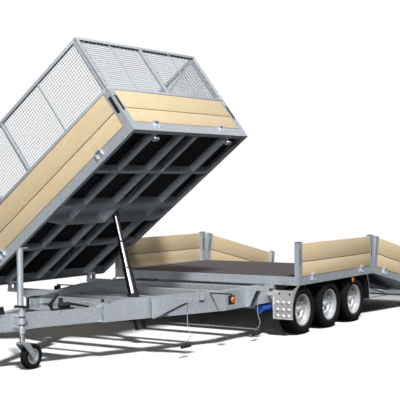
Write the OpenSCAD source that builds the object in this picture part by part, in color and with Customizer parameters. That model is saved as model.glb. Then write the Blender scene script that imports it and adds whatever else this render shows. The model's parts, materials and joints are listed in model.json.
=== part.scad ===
// Tri-axle plant trailer with a side-tipping caged body in front of its flat deck and beavertail.
// Frame: millimetres, +X forward along the drawbar, +Y left, +Z up, origin at the towing eye's centre.
// Every module is written from the ground under the front axle, and at_eye() moves it to the frame.

/* [Layout] */
// Towing eye's centre ahead of the front axle
eye_x = 3850; // [3650:10:4100]
// Towing eye's centre above the ground
eye_z = 430; // [400:5:450]
// Width over the side rails
overall_w = 2500; // [2420:10:2550]
// Distance from one axle to the next
axle_pitch = 627; // [610:1:700]
// Top of the deck floor above the ground
deck_h = 629; // [620:1:660]

/* [Wheels] */
// Gap between the tyres and the deck frame
tyre_gap = 17; // [12:1:40]
// Tyre section width
tyre_w = 195; // [165:5:205]
// Outer faces of the tyres inside the side rails
wheel_inset = 35; // [25:5:60]
// Stub spindle diameter
spindle_d = 40; // [30:2:50]
// Square axle tube, height and width
axle_tube = 90; // [70:5:100]
// Swing arm length from the axle tube's centre back to the spindle
arm_len = 150; // [120:5:170]

/* [Chassis] */
// Outer faces of the main beams inside the side rails
beam_inset = 300; // [280:10:350]
// Main beam flange width
beam_w = 70; // [60:5:90]
// Main beam web and flange thickness
beam_t = 6; // [4:1:10]
// Underside of the main beams above the ground
beam_bottom = 360; // [340:5:380]
// Top of the main beams ahead of the deck
beam_top = 560; // [550:5:575]
// Where the main beams bend inwards, ahead of the front axle
bend_x = 1150; // [1050:10:1250]
// Where the drawbar beams' inner faces meet, ahead of the front axle
nose_x = 3555; // [3450:5:3580]
// Front end of the main beams
beam_front_x = 2490; // [2400:10:2600]
// Height of the drawbar beams
drawbar_h = 140; // [120:5:160]
// Rear end of the drawbar beams, bolted inside the main beams
drawbar_rear_x = 2110; // [2090:10:2200]
// Towing eye bore
eye_bore_d = 40; // [38:1:50]
// Towing eye outside diameter
eye_ring_d = 88; // [76:2:110]
// Towing eye thickness
eye_t = 30; // [25:1:42]
// Outriggers' places ahead of the front axle
outrigger_xs = [1975, 700];
// Outrigger width along the trailer
outrigger_w = 110; // [90:5:140]
// Thickness of plates welded to the chassis
plate_t = 10; // [6:1:14]
// Middle of the hand pump's cross plate ahead of the front axle
pump_x = 2750; // [2700:10:2800]
// Stanchion ahead of the front axle
stanchion_x = 2895; // [2860:5:2920]
// Side marker lamps ahead of the front axle
lamp_x = 1340; // [1250:10:1400]

/* [Tipping body] */
// Body length
body_l = 2000; // [1900:10:2060]
// Front of the body ahead of the front axle
body_x = 2370; // [2350:5:2390]
// Sides of the body outside the width over the side rails
body_over = 25; // [0:5:25]
// Underside of the body rails above the ground, lowered
body_z = 655; // [645:1:680]
// Body rail height
body_rail_h = 98; // [80:2:120]
// Body rail width
body_rail_w = 50; // [40:5:70]
// Floor board thickness
floor_t = 18; // [12:1:24]
// Side board height
body_board_h = 397; // [300:1:420]
// Height of the whole cage above the rails' underside
cage_top = 1150; // [900:10:1250]
// Cage tube size
cage_tube = 34; // [25:1:45]
// Cage mesh opening pitch
mesh_pitch = 104; // [80:2:160]
// Cage mesh wire width
mesh_wire = 6; // [4:1:10]
// Tipping angle as it stands
tip_angle = 37.5; // [10:0.5:45]
// Hinge line inside the body's side
hinge_inset = 86; // [80:2:140]
// Hinge line above the ground
hinge_z = 625; // [620:1:632]
// Hinge pin diameter
hinge_pin_d = 30; // [24:2:36]
// Hinge socket wall
socket_wall = 7; // [5:1:8]
// Hinge socket length
socket_l = 70; // [50:5:80]
// How far the unlatched gate hangs open as the body stands
gate_hang = 46; // [0:1:90]

/* [Ram] */
// Ram's place ahead of the front axle
ram_x = 1450; // [1400:5:1500]
// Outside diameters of the barrel and the three stages
ram_ds = [120, 98, 80, 62];
// Height of the ram's trunnion above the ground
trunnion_z = 440; // [420:5:470]
// Ram's place left of the centreline
ram_y = 20; // [0:5:60]
// Diameter of the trunnion pins
trunnion_d = 30; // [20:2:40]
// Length of the barrel below the trunnion
barrel_below = 300; // [290:5:310]
// Length of the barrel above the trunnion
barrel_above = 80; // [70:5:90]

/* [Deck] */
// Front edge of the deck ahead of the front axle
deck_front_x = 181; // [170:1:200]
// Kink between deck and beavertail, behind the front axle
kink_x = 1690; // [1650:5:1700]
// Beavertail slope
tail_angle = 12; // [8:1:14]
// Beavertail length along its slope
tail_l = 1800; // [1700:10:1900]
// Deck rail height
deck_rail_h = 87; // [70:1:100]
// Deck rail width
deck_rail_w = 50; // [40:5:70]
// Side board height above the deck
board_h = 361; // [300:1:400]
// Board thickness
board_t = 26; // [20:1:32]
// Width of the groove between a board's two planks
groove_w = 8; // [4:1:12]
// Post width along the trailer
post_w = 90; // [70:5:100]
// Post depth across the trailer
post_d = 50; // [40:5:60]
// Gap between a moving board and what it closes on
board_gap = 6; // [5:1:10]
// Loading ramp length
ramp_l = 790; // [740:10:800]
// Loading ramp width
ramp_w = 2240; // [2000:10:2250]
// Loading ramp frame tube
ramp_tube = 40; // [30:2:50]

/* [Jack] */
// Jack leg ahead of the front axle
jack_x = 3262; // [3200:2:3300]
// Jack leg outside the drawbar beam's outer face
jack_out = 56; // [50:1:80]
// Jack outer tube diameter
jack_tube_d = 60; // [48:2:64]
// Jack inner tube diameter
jack_stem_d = 48; // [42:2:52]
// Jack wheel diameter
jack_wheel_d = 230; // [200:10:240]
// Jack wheel width
jack_wheel_w = 70; // [50:5:80]
// Trail of the jack wheel behind its leg
jack_trail = 112; // [80:2:130]

/* [Hidden] */

galvanised = [0.72, 0.75, 0.78];
plank = [0.92, 0.84, 0.68];
ply_black = [0.10, 0.10, 0.11];
running = 0.05;
touch = 0.3;
sides = [1, -1];
deck_bottom = deck_h - deck_rail_h;
tyre_d = deck_bottom - tyre_gap;
rim_d = tyre_d*2/3;
drum_d = rim_d - 120;
wheel_z = tyre_d/2;
wheel_y = overall_w/2 - wheel_inset - tyre_w/2;
rim_half = tyre_w/2 - 18;
rail_y = overall_w/2;
body_rear_x = body_x - body_l;
body_y = overall_w/2 + body_over;
body_w = 2*body_y;
hinge_y = body_y - hinge_inset;
beam_y = overall_w/2 - beam_inset;
nose_run = nose_x - bend_x;
draw_angle = acos(beam_w/norm([beam_y, nose_run])) - atan(nose_run/beam_y);
draw_slope = tan(draw_angle);
drawbar_top = beam_bottom + drawbar_h;
pin_x_gap = 5;
socket_r = hinge_pin_d/2 + socket_wall;
kink_back = -kink_x;
kink_lap = 20;
splash_z = 190;
lamp_y = rail_y - 120;
lamp_z = beam_top - 65;
rail_lamp_x = -axle_pitch*1.82;
// Pin of the ram's eye in the lowered body, where the tipped body carries it, and the ram's reach to it
ram_eye = [5, body_z - 11 - hinge_z];
ram_eye_y = -hinge_y + (ram_y + ram_eye.x + hinge_y)*cos(tip_angle) - ram_eye.y*sin(tip_angle);
ram_eye_z = hinge_z + (ram_y + ram_eye.x + hinge_y)*sin(tip_angle) + ram_eye.y*cos(tip_angle);
ram_angle = atan((ram_y - ram_eye_y)/(ram_eye_z - trunnion_z));
ram_head = 116;
ram_stroke = (norm([ram_y - ram_eye_y, ram_eye_z - trunnion_z]) - barrel_above - ram_head)/3;
knuckle_out = 12;
knuckle_up = 9;
knuckle_d = 16;
knuckle_l = 60;
knuckle_pin_d = 8;
board_hinges = [0.14, 0.86];
body_hinges = [0.2, 0.82];
front_hinges = [0.16, 0.84];
jack_axle_z = jack_wheel_d/2;
jack_y = beam_y - (jack_x - bend_x)*draw_slope - beam_w/cos(draw_angle) + jack_out;
gusset_y = hinge_y - 124;
body_post = 80;
deck_board_x0 = kink_back + post_w + board_gap;
deck_board_x1 = deck_front_x - post_w - board_gap;
tail_board_x0 = -tail_l + post_w + board_gap;
tail_post_x = -post_w - 12;
tail_board_x1 = tail_post_x - board_gap;
body_board_x0 = body_rear_x + body_post + board_gap;
body_board_x1 = body_x - body_post - board_gap;
front_board_y = body_y - body_post - board_gap;
ramp_ear_ys = [-0.93, -0.38, 0.38, 0.93]*(ramp_w/2);
ramp_pin_back = 30;
ramp_pin_down = 42;
// Height of the ramp's pins above the ground, and the angle at which the lowered ramp meets it
ramp_pin_x = kink_back - (tail_l + ramp_pin_back)*cos(tail_angle) + ramp_pin_down*sin(tail_angle);
ramp_pin_z = deck_h - (tail_l + ramp_pin_back)*sin(tail_angle) - ramp_pin_down*cos(tail_angle);
ramp_drop = asin((ramp_pin_z - 24)/ramp_l);
gate_pin_z = body_z + body_rail_h + body_board_h - 2*board_gap - 12;
gate_pin_y = -body_y - 11;

// Outer face of the chassis beam at a place along the trailer
function beam_face(x) = x < bend_x ? beam_y : beam_y - (x - bend_x)*draw_slope;
// Points of an arc, for outlines
function arc(cx, cy, r, a0, a1, n) = [for (i = [0:n]) let (a = a0 + (a1 - a0)*i/n) [cx + r*cos(a), cy + r*sin(a)]];

// Moves the trailer from the ground under its front axle to the frame's origin at the towing eye
module at_eye() { translate([-eye_x, 0, -eye_z]) children(); }

// Turns the tipping body about its hinge line, as it stands
module tipped() {
    at_eye() translate([0, -hinge_y, hinge_z]) rotate([tip_angle, 0, 0])
        translate([0, hinge_y, -hinge_z]) children();
}

// Slopes the beavertail down from the top of the kink
module sloped() {
    at_eye() translate([kink_back, 0, deck_h]) rotate([0, -tail_angle, 0]) children();
}

// Block given by its lowest and highest corners
module block(a, b) { translate(a) cube(b - a); }

// Rod along X, Y or Z from a point
module rod_x(p, d, l) { translate(p) rotate([0, 90, 0]) cylinder(d = d, h = l); }
module rod_y(p, d, l) { translate(p) rotate([-90, 0, 0]) cylinder(d = d, h = l); }
module rod_z(p, d, l) { translate(p) cylinder(d = d, h = l); }

// Outline in the vertical plane along the trailer, given thickness to the left from y
module profile_xz(points, y, t) { translate([0, y + t, 0]) rotate([90, 0, 0]) linear_extrude(t) polygon(points); }

// Outline in the vertical plane across the trailer, given thickness forward from x
module profile_yz(points, x, t) { translate([x, 0, 0]) rotate([90, 0, 90]) linear_extrude(t) polygon(points); }

// Straight channel beam along X from x0 to x1, its open side towards the centreline
module channel_x(x0, x1, y, s, z0, z1, w, t) {
    block([x0, s > 0 ? y - t : -y, z0], [x1, s > 0 ? y : -y + t, z1]);
    block([x0, s > 0 ? y - w : -y, z0], [x1, s > 0 ? y : -y + w, z0 + t]);
    block([x0, s > 0 ? y - w : -y, z1 - t], [x1, s > 0 ? y : -y + w, z1]);
}

// Two drawbar beams that meet at the nose
module drawbar() {
    tip_x = nose_x - 60;
    inset = (beam_w + touch)/cos(draw_angle);
    color(galvanised) at_eye() {
        difference() {
            for (s = sides) scale_y(s) intersection() {
                draw_beam(drawbar_rear_x, nose_x + 260, beam_bottom, drawbar_top, inset);
                block([drawbar_rear_x, 0, 0], [tip_x, beam_y, beam_top]);
            }
            for (s = sides) translate([jack_x, s*(beam_face(jack_x) - inset - beam_w/2), beam_bottom - 1])
                cylinder(d = 14, h = beam_t + 2);
        }
        // Cross plate under the hand pump and nose plate under the coupling
        block([pump_x - 110, -beam_face(pump_x - 110) + inset + beam_w, drawbar_top - plate_t],
              [pump_x + 110, beam_face(pump_x - 110) - inset - beam_w, drawbar_top]);
        profile_xz([[tip_x - 150, drawbar_top], [nose_x, drawbar_top], [nose_x, beam_bottom],
            [tip_x, beam_bottom], [tip_x, drawbar_top - plate_t], [tip_x - 150, drawbar_top - plate_t]], -60, 120);
    }
}

// Mirror across the trailer for the right-hand side
module scale_y(s) { if (s > 0) children(); else mirror([0, 1, 0]) children(); }

// Hollow beam along the left side of the drawbar, offset inwards from the chassis line
module draw_beam(x0, x1, z0, z1, inset) {
    outer = function(x) beam_face(x) - inset;
    wide = beam_w/cos(draw_angle);
    wall = beam_t/cos(draw_angle);
    translate([0, 0, z0]) difference() {
        linear_extrude(z1 - z0) polygon([[x0, outer(x0)], [x1, outer(x1)], [x1, outer(x1) - wide], [x0, outer(x0) - wide]]);
        translate([0, 0, beam_t]) linear_extrude(z1 - z0 - 2*beam_t)
            polygon([[x0 - 1, outer(x0 - 1) - wall], [x1 + 1, outer(x1 + 1) - wall],
                [x1 + 1, outer(x1 + 1) - wide + wall], [x0 - 1, outer(x0 - 1) - wide + wall]]);
    }
}

// Overrun coupling with its damper, gaiter and towing eye
module coupling() {
    zc = eye_z;
    head = eye_x - eye_ring_d/2 + 8;
    color(galvanised) at_eye() difference() {
        union() {
            block([nose_x + touch, -62, zc - 66], [nose_x + plate_t, 62, zc + 66]);
            rod_x([nose_x + plate_t, 0, zc], 92, 120);
            for (i = [0:4]) rod_x([nose_x + plate_t + 120 + i*22, 0, zc], 84 - 4*(i % 2) - 4*i, 22);
            rod_x([nose_x + plate_t + 230, 0, zc], 50, head - nose_x - plate_t - 230);
            translate([eye_x, 0, zc - eye_t/2]) cylinder(d = eye_ring_d, h = eye_t);
        }
        translate([eye_x, 0, zc - eye_t]) cylinder(d = eye_bore_d, h = 2*eye_t);
    }
}

// Parking brake lever on the drawbar's nose
module brake_lever() {
    x0 = nose_x - 180;
    color([0.12, 0.12, 0.13]) at_eye() {
        for (s = sides) translate([0, s*26 - 4, 0]) profile_xz([[x0 - 40, drawbar_top + touch],
            [x0 + 60, drawbar_top + touch], [x0 + 40, drawbar_top + 70], [x0 - 20, drawbar_top + 70]], 0, 8);
        rod_y([x0 + 10, -40, drawbar_top + 48], 20, 80);
        translate([x0 + 10, 0, drawbar_top + 48]) rotate([0, 62, 0]) {
            translate([-6, -8, 6]) cube([12, 16, 250]);
            translate([0, 0, 250]) cylinder(d = 34, h = 130);
        }
    }
}

// Main beams, bent inwards at the front, with their cross members
module main_frame() {
    rear = kink_back - kink_lap;
    step_x = 320;
    color(galvanised) at_eye() {
        for (s = sides) scale_y(s) {
            // Rear run under the deck, its top lowered to carry the deck frame
            difference() {
                profile_xz([[rear, beam_bottom], [bend_x, beam_bottom], [bend_x, beam_top], [step_x + 120, beam_top],
                    [step_x, deck_bottom - touch], [rear, deck_bottom - touch]], beam_y - beam_w, beam_w);
                profile_xz([[rear - 1, beam_bottom + beam_t], [bend_x + 1, beam_bottom + beam_t],
                    [bend_x + 1, beam_top - beam_t], [step_x + 120, beam_top - beam_t],
                    [step_x, deck_bottom - beam_t], [rear - 1, deck_bottom - beam_t]], beam_y - beam_w - 1, beam_w + 1 - beam_t);
            }
            // Front run, bent inwards, with a tapered nose
            intersection() {
                difference() {
                    front_run(0, beam_w, beam_bottom, beam_top);
                    front_run(beam_t, beam_w + 1, beam_bottom + beam_t, beam_top - beam_t);
                }
                profile_xz([[bend_x, beam_bottom], [beam_front_x, beam_bottom], [beam_front_x, beam_bottom + 150],
                    [beam_front_x - 150, beam_top - 8], [beam_front_x - 320, beam_top], [bend_x, beam_top]], 0, beam_y);
            }
        }
        // Cross members: at the outriggers, under the deck and at the kink
        for (x = [outrigger_xs[0], outrigger_xs[1], -axle_pitch/2, -3*axle_pitch/2])
            cross_box(x - 50, x + 50, beam_bottom + 20, beam_bottom + 140);
        cross_box(step_x - 80, step_x, beam_bottom + 20, beam_bottom + 160);
        cross_box(kink_back - kink_lap, kink_back + 60, beam_bottom + 20, deck_bottom - 20);
        cross_box(beam_front_x - 110, beam_front_x - 40, beam_bottom + drawbar_h + touch, beam_bottom + drawbar_h + 34);
    }
}

// Left front run of a main beam, between two offsets from its outer face
module front_run(o0, o1, z0, z1) {
    k = 1/cos(draw_angle);
    x1 = beam_front_x + 60;
    translate([0, 0, z0]) linear_extrude(z1 - z0) polygon([[bend_x, beam_y - o0], [x1, beam_face(x1) - o0*k],
        [x1, beam_face(x1) - o1*k], [bend_x, beam_y - o1]]);
}

// Box cross member between the webs of the main beams
module cross_box(x0, x1, z0, z1) {
    reach = (x1 > bend_x ? beam_face(x1) : beam_y) - beam_t/cos(draw_angle) - touch;
    difference() {
        block([x0, -reach, z0], [x1, reach, z1]);
        block([x0 + beam_t, -reach - 1, z0 + beam_t], [x1 - beam_t, reach + 1, z1 - beam_t]);
    }
}

// Tapered outriggers that carry the hinge seats
module outriggers() {
    tip = hinge_y + 26;
    top = beam_top + 4;
    color(galvanised) at_eye() for (x = outrigger_xs, s = sides) scale_y(s) {
        root = max(beam_face(x - outrigger_w/2), beam_face(x + outrigger_w/2)) + touch;
        half = outrigger_w/2;
        for (e = [-half, half - plate_t])
            profile_yz([[root, beam_bottom], [root + 30, beam_bottom], [gusset_y, top - 34], [tip, top - 34], [tip, top], [root, top]],
                x + e, plate_t);
        block([x - half + plate_t, root, top - plate_t], [x + half - plate_t, tip, top]);
        // Seat: two ears with the pin bore, round the socket
        for (e = [socket_l/2 + pin_x_gap, -socket_l/2 - pin_x_gap - plate_t]) difference() {
            union() {
                profile_yz([[hinge_y - 24, top - plate_t], [tip, top - plate_t], [hinge_y + 24, hinge_z], [hinge_y - 24, hinge_z]],
                    x + e, plate_t);
                rod_x([x + e, hinge_y, hinge_z], hinge_pin_d + 18, plate_t);
            }
            rod_x([x + e - 1, hinge_y, hinge_z], hinge_pin_d + 2*running, plate_t + 2);
        }
    }
}

// Pins in the right-hand seats, on which the body turns
module hinge_pins() {
    color([0.80, 0.81, 0.82]) at_eye() for (x = outrigger_xs) {
        l = socket_l + 2*pin_x_gap + 2*plate_t;
        rod_x([x - l/2 - 8, -hinge_y, hinge_z], hinge_pin_d, l + 16);
        rod_x([x + l/2 + touch, -hinge_y, hinge_z], hinge_pin_d + 8, 8 - touch);
    }
}

// Cross members with ears that hold the ram's trunnions
module ram_mount() {
    gap = ram_ds[0]/2 + 15;
    bearing = gap + 30;
    color(galvanised) at_eye() for (s = sides) {
        x0 = ram_x + (s > 0 ? gap : -gap - 60);
        reach = beam_face(ram_x + gap + 60) - beam_t/cos(draw_angle) - touch;
        difference() {
            block([x0, -reach, trunnion_z - 60], [x0 + 60, reach, trunnion_z + 45]);
            block([x0 + beam_t, -reach - 1, trunnion_z - 60 + beam_t], [x0 + 60 - beam_t, ram_y - 60, trunnion_z + 45 - beam_t]);
            block([x0 + beam_t, ram_y + 60, trunnion_z - 60 + beam_t], [x0 + 60 - beam_t, reach + 1, trunnion_z + 45 - beam_t]);
            rod_x([x0 - 1, ram_y, trunnion_z], trunnion_d + 2*running, 62);
        }
    }
}

// Places a ram piece along the ram's axis, pushed out by some stages
module on_ram(stages) {
    at_eye() translate([ram_x, ram_y, trunnion_z]) rotate([ram_angle, 0, 0]) translate([0, 0, stages*ram_stroke]) children();
}

// Ram barrel with its trunnion pins
module ram_barrel() {
    color([0.13, 0.13, 0.14]) on_ram(0) difference() {
        union() {
            translate([0, 0, -barrel_below]) cylinder(d = ram_ds[0], h = barrel_below + barrel_above);
            rod_x([-ram_ds[0]/2 - 60, 0, 0], trunnion_d, ram_ds[0] + 120);
        }
        translate([0, 0, 20 - barrel_below]) cylinder(d = ram_ds[1] + 2*running, h = barrel_below + barrel_above);
    }
}

// One hollow ram stage: its place in the row, its lower and upper ends when closed
module ram_tube(i, z0, z1) {
    color([0.85, 0.86, 0.88]) on_ram(i) difference() {
        translate([0, 0, z0]) cylinder(d = ram_ds[i], h = z1 - z0);
        translate([0, 0, z0 - 1]) cylinder(d = ram_ds[i + 1] + 2*running, h = z1 - z0 + 2);
    }
}

module ram_stage_1() { ram_tube(1, 24 - barrel_below, barrel_above + 20); }
module ram_stage_2() { ram_tube(2, 34 - barrel_below, barrel_above + 40); }

// Innermost stage, with the head that reaches the body's bracket
module ram_stage_3() {
    eye = barrel_above + ram_head;
    color([0.85, 0.86, 0.88]) on_ram(3) difference() {
        union() {
            translate([0, 0, 44 - barrel_below]) cylinder(d = ram_ds[3], h = barrel_above + 60 - 44 + barrel_below);
            translate([-20, -26, barrel_above + 58]) cube([40, 52, eye - barrel_above - 58]);
            rod_x([-20, 0, eye], 52, 40);
        }
        rod_x([-21, 0, eye], 25, 42);
    }
}

// Jack clamp and outer tube on the drawbar's left beam
module jack_tube() {
    face = beam_face(jack_x) - beam_w/cos(draw_angle);
    top = drawbar_top + 30;
    color(galvanised) at_eye() {
        difference() {
            union() {
                rod_z([jack_x, jack_y, 330], jack_tube_d, top - 330);
                rotate_on_beam(jack_x) block([-28, plate_t - 2, beam_bottom + 18], [28, jack_out*cos(draw_angle), drawbar_top - 14]);
            }
            rod_z([jack_x, jack_y, 329], jack_stem_d + 2*running, top - 331 - 8);
            for (z = [beam_bottom + 45, drawbar_top - 45])
                rod_x([jack_x - 40, face + 24, z], 12, 80);
        }
        // Clamp plate along the beam
        rotate_on_beam(jack_x) block([-55, touch, beam_bottom + 10], [55, plate_t, drawbar_top - 6]);
        // Crank on top
        rod_z([jack_x, jack_y, top], 22, 24);
        translate([jack_x, jack_y, top + 14]) rotate([0, 0, 200]) translate([-8, -8, 0]) cube([150, 16, 10]);
        translate([jack_x, jack_y, 0]) rotate([0, 0, 200]) rod_z([134, 0, top + 24], 26, 90);
    }
}

// Puts a piece on the outer face of the drawbar's left beam, its Y pointing outwards
module rotate_on_beam(x) {
    translate([x, beam_face(x) - beam_w/cos(draw_angle), 0]) rotate([0, 0, -draw_angle]) children();
}

// Jack inner tube, which carries the swivelling fork
module jack_stem() {
    color([0.80, 0.81, 0.83]) at_eye() difference() {
        rod_z([jack_x, jack_y, 258], jack_stem_d, 172);
        rod_z([jack_x, jack_y, 257], 24 + 2*running, 64);
    }
}

// Swivelling fork of the jack wheel
module jack_fork() {
    wx = jack_x - jack_trail;
    half = jack_wheel_w/2 + 6;
    color([0.15, 0.15, 0.16]) at_eye() {
        rod_z([jack_x, jack_y, 240], 24, 76);
        block([jack_x - 40, jack_y - half - 6, 236], [jack_x + 30, jack_y + half + 6, 252]);
        for (s = sides) translate([0, s > 0 ? jack_y + half : jack_y - half - 6, 0])
            profile_xz([[jack_x - 40, 252], [jack_x + 30, 252], [jack_x + 30, 232], [wx + 16, jack_axle_z - 18],
                [wx - 16, jack_axle_z - 18], [wx - 18, jack_axle_z + 14]], 0, 6);
        rod_y([wx, jack_y - half - 3, jack_axle_z], 16, 2*half + 6);
    }
}

module jack_tyre() {
    r = jack_wheel_d/2;
    w = jack_wheel_w/2;
    color([0.08, 0.08, 0.08]) at_eye() translate([jack_x - jack_trail, jack_y, jack_axle_z]) rotate([90, 0, 0])
        rotate_extrude() polygon(concat([[r*0.6 + touch, -w + 6], [r*0.78, -w]], arc(r - 14, -w + 16, 14, -70, 0, 4),
            arc(r - 14, w - 16, 14, 0, 70, 4), [[r*0.78, w], [r*0.6 + touch, w - 6]]));
}

module jack_rim() {
    r = jack_wheel_d/2;
    w = jack_wheel_w/2;
    color([0.85, 0.85, 0.86]) at_eye() translate([jack_x - jack_trail, jack_y, jack_axle_z]) rotate([90, 0, 0])
        rotate_extrude() polygon([[8 + running, -w], [26, -w], [26, -9], [r*0.5, -9], [r*0.5, -w + 8], [r*0.6, -w + 8],
            [r*0.6, w - 8], [r*0.5, w - 8], [r*0.5, 9], [26, 9], [26, w], [8 + running, w]]);
}

// One axle: square tube under the beams, swing arms, backing plates and stub spindles
module axle(x) {
    tube_x = x + arm_len;
    arm_y = wheel_y - 98;
    color([0.66, 0.68, 0.70]) at_eye() {
        difference() {
            block([tube_x - axle_tube/2, -arm_y + 26, beam_bottom - axle_tube], [tube_x + axle_tube/2, arm_y - 26, beam_bottom - touch]);
            block([tube_x - axle_tube/2 + 6, -arm_y + 20, beam_bottom - axle_tube + 6], [tube_x + axle_tube/2 - 6, -beam_y, beam_bottom - 6]);
            block([tube_x - axle_tube/2 + 6, beam_y, beam_bottom - axle_tube + 6], [tube_x + axle_tube/2 - 6, arm_y - 20, beam_bottom - 6]);
        }
        for (s = sides) scale_y(s) {
            profile_xz(concat(arc(x, wheel_z, 34, 100, 270, 8), arc(tube_x, beam_bottom - axle_tube/2, 40, 280, 440, 8)), arm_y - 26, 26);
            rod_y([x, arm_y - 1, wheel_z], 60, 12);
            rod_y([x, arm_y + 8, wheel_z], drum_d - 6, 4);
            rod_y([x, arm_y + 10, wheel_z], spindle_d, 100);
        }
    }
}

module axle_front() { axle(0); }
module axle_mid() { axle(-axle_pitch); }
module axle_rear() { axle(-2*axle_pitch); }

// Tyre about the wheel's own axis, its beads seated between the rim's flanges
module tyre(i, s) {
    w = tyre_w/2;
    r = tyre_d/2;
    bead = rim_d/2;
    f = rim_half;
    left = concat([[bead - 9 + touch, 8.5 - f], [bead + 1, 5.5 - f], [bead + 3, -f - 2], [bead + 16, 8 - w]],
        arc(bead + 42, 26 - w, 26, -110, -70, 3), arc(r - 28, 34 - w, 28, -60, 0, 5));
    color([0.07, 0.07, 0.07]) at_eye() translate([-i*axle_pitch, s*wheel_y, wheel_z]) rotate([90, 0, 0])
        rotate_extrude() polygon(concat(left, [for (k = [len(left) - 1:-1:0]) [left[k][0], -left[k][1]]]));
}

// Steel rim with its disc and drum, turning on the spindle
module rim(i, s) {
    r = rim_d/2;
    f = rim_half;
    hub = spindle_d/2 + running;
    drum_r = drum_d/2;
    color([0.80, 0.82, 0.84]) at_eye() translate([-i*axle_pitch, s*wheel_y, wheel_z]) rotate([s > 0 ? -90 : 90, 0, 0])
        difference() {
            union() {
                // Barrel with its flanges and drop centre
                rotate_extrude() polygon([[r, -f], [r, 5 - f], [r - 9, 8 - f], [r - 9, 24 - f], [r - 22, 36 - f],
                    [r - 22, 6], [r - 9, 20], [r - 9, f - 8], [r, f - 5], [r, f],
                    [r - 14, f], [r - 14, 22], [r - 27, 8], [r - 27, 34 - f], [r - 14, 22 - f], [r - 14, -f]]);
                // Dished disc
                rotate_extrude() polygon([[30, 12], [r*0.423, 12], [r*0.537, 32], [r*0.674, 38], [r*0.8, 24], [r*0.926, 24],
                    [r*0.926, 19], [r*0.783, 19], [r*0.669, 32], [r*0.554, 27], [r*0.44, 7], [30, 7]]);
                // Drum, its groove and the hub's cap
                rotate_extrude() polygon([[hub, -60], [drum_r, -60], [drum_r, -52], [drum_r - 6, -48], [drum_r - 6, -20],
                    [drum_r, -16], [drum_r - 8, 2], [drum_r*0.617, 7.5], [hub, 7.5]]);
                rotate_extrude() polygon([[hub, 7], [38, 7], [38, 12], [33, 14], [33, 36], [24, 44], [0, 44], [0, 38], [hub, 34]]);
            }
            for (a = [0:30:359]) rotate([0, 0, a]) translate([r*0.611, 0, 20]) cylinder(d = 20, h = 30);
        }
}

module tyre_left_front() { tyre(0, 1); }
module tyre_left_mid() { tyre(1, 1); }
module tyre_left_rear() { tyre(2, 1); }
module tyre_right_front() { tyre(0, -1); }
module tyre_right_mid() { tyre(1, -1); }
module tyre_right_rear() { tyre(2, -1); }
module rim_left_front() { rim(0, 1); }
module rim_left_mid() { rim(1, 1); }
module rim_left_rear() { rim(2, 1); }
module rim_right_front() { rim(0, -1); }
module rim_right_mid() { rim(1, -1); }
module rim_right_rear() { rim(2, -1); }

// Deck frame: side rails, end rails and cross members
module deck_frame() {
    under = deck_h - floor_t;
    color(galvanised) at_eye() {
        for (s = sides) channel_x(kink_back, deck_front_x, rail_y, s, deck_bottom, deck_h, deck_rail_w, 5);
        block([deck_front_x - 50, -rail_y + 5, deck_bottom], [deck_front_x, rail_y - 5, deck_h]);
        for (i = [1:5]) {
            x = deck_front_x - i*(deck_front_x - kink_back)/6;
            block([x - 20, -rail_y + 5, deck_bottom + 5], [x + 20, rail_y - 5, under]);
        }
        block([kink_back, -rail_y + 5, deck_bottom], [kink_back + 50, rail_y - 5, under]);
        translate([0, 0, deck_h]) for (s = sides) board_lugs(deck_board_x0, deck_board_x1, s, rail_y);
    }
}

module deck_floor() {
    color([0.37, 0.34, 0.34]) at_eye()
        block([kink_back, -rail_y + deck_rail_w, deck_h - floor_t], [deck_front_x - 50, rail_y - deck_rail_w, deck_h]);
}

// Where the chassis's rear end lies in the sloping frame, at a height
function kink_edge(z) = (z*sin(tail_angle) - kink_lap - touch)/cos(tail_angle);

// Beavertail frame, written level with its top at z = 0 and running back along -X
module tail_frame() {
    color(galvanised) sloped() {
        for (s = sides) channel_x(-tail_l, -20, rail_y, s, -deck_rail_h, 0, deck_rail_w, 5);
        for (s = sides) board_lugs(tail_board_x0, tail_board_x1, s, rail_y);
        block([-tail_l, -rail_y + 5, -deck_rail_h], [-tail_l + 60, rail_y - 5, 0]);
        for (i = [0:5]) {
            x = -60 - i*(tail_l - 160)/6;
            block([x - 20, -rail_y + 5, -deck_rail_h + 5], [x + 20, rail_y - 5, -floor_t]);
        }
        for (s = sides) scale_y(s) profile_xz([[kink_edge(-deck_rail_h), -deck_rail_h], [-tail_l + 60, -deck_rail_h],
            [-tail_l + 60, -deck_rail_h - 20], [-600, -deck_rail_h - 90], [kink_edge(-deck_rail_h - 90), -deck_rail_h - 90]],
            beam_y - 300, 60);
        // Ears for the ramp's hinge pins
        for (y = ramp_ear_ys) difference() {
            union() {
                profile_xz([[-tail_l, -26], [-tail_l, -deck_rail_h], [-tail_l - 30, -deck_rail_h + 16], [-tail_l - 30, -26]], y - 6, 12);
                rod_y([-tail_l - ramp_pin_back, y - 6, -ramp_pin_down], 32, 12);
            }
            rod_y([-tail_l - ramp_pin_back, y - 7, -ramp_pin_down], 16 + 2*running, 14);
        }
    }
}

module tail_floor() {
    color([0.37, 0.34, 0.34]) sloped()
        block([-tail_l + 60, -rail_y + deck_rail_w, -floor_t], [-6, rail_y - deck_rail_w, 0]);
}

// Slotted post that closes a row of boards, standing on a rail
module post(x, s, h) {
    y0 = s > 0 ? rail_y - post_d : -rail_y;
    difference() {
        block([x, y0, touch], [x + post_w, y0 + post_d, h]);
        block([x + 5, y0 + 5, 10], [x + post_w - 5, y0 + post_d - 5, h - 6]);
        block([x + post_w/2 - 12, y0 - 1, h*0.35], [x + post_w/2 + 12, y0 + post_d + 1, h*0.8]);
    }
}

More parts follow.
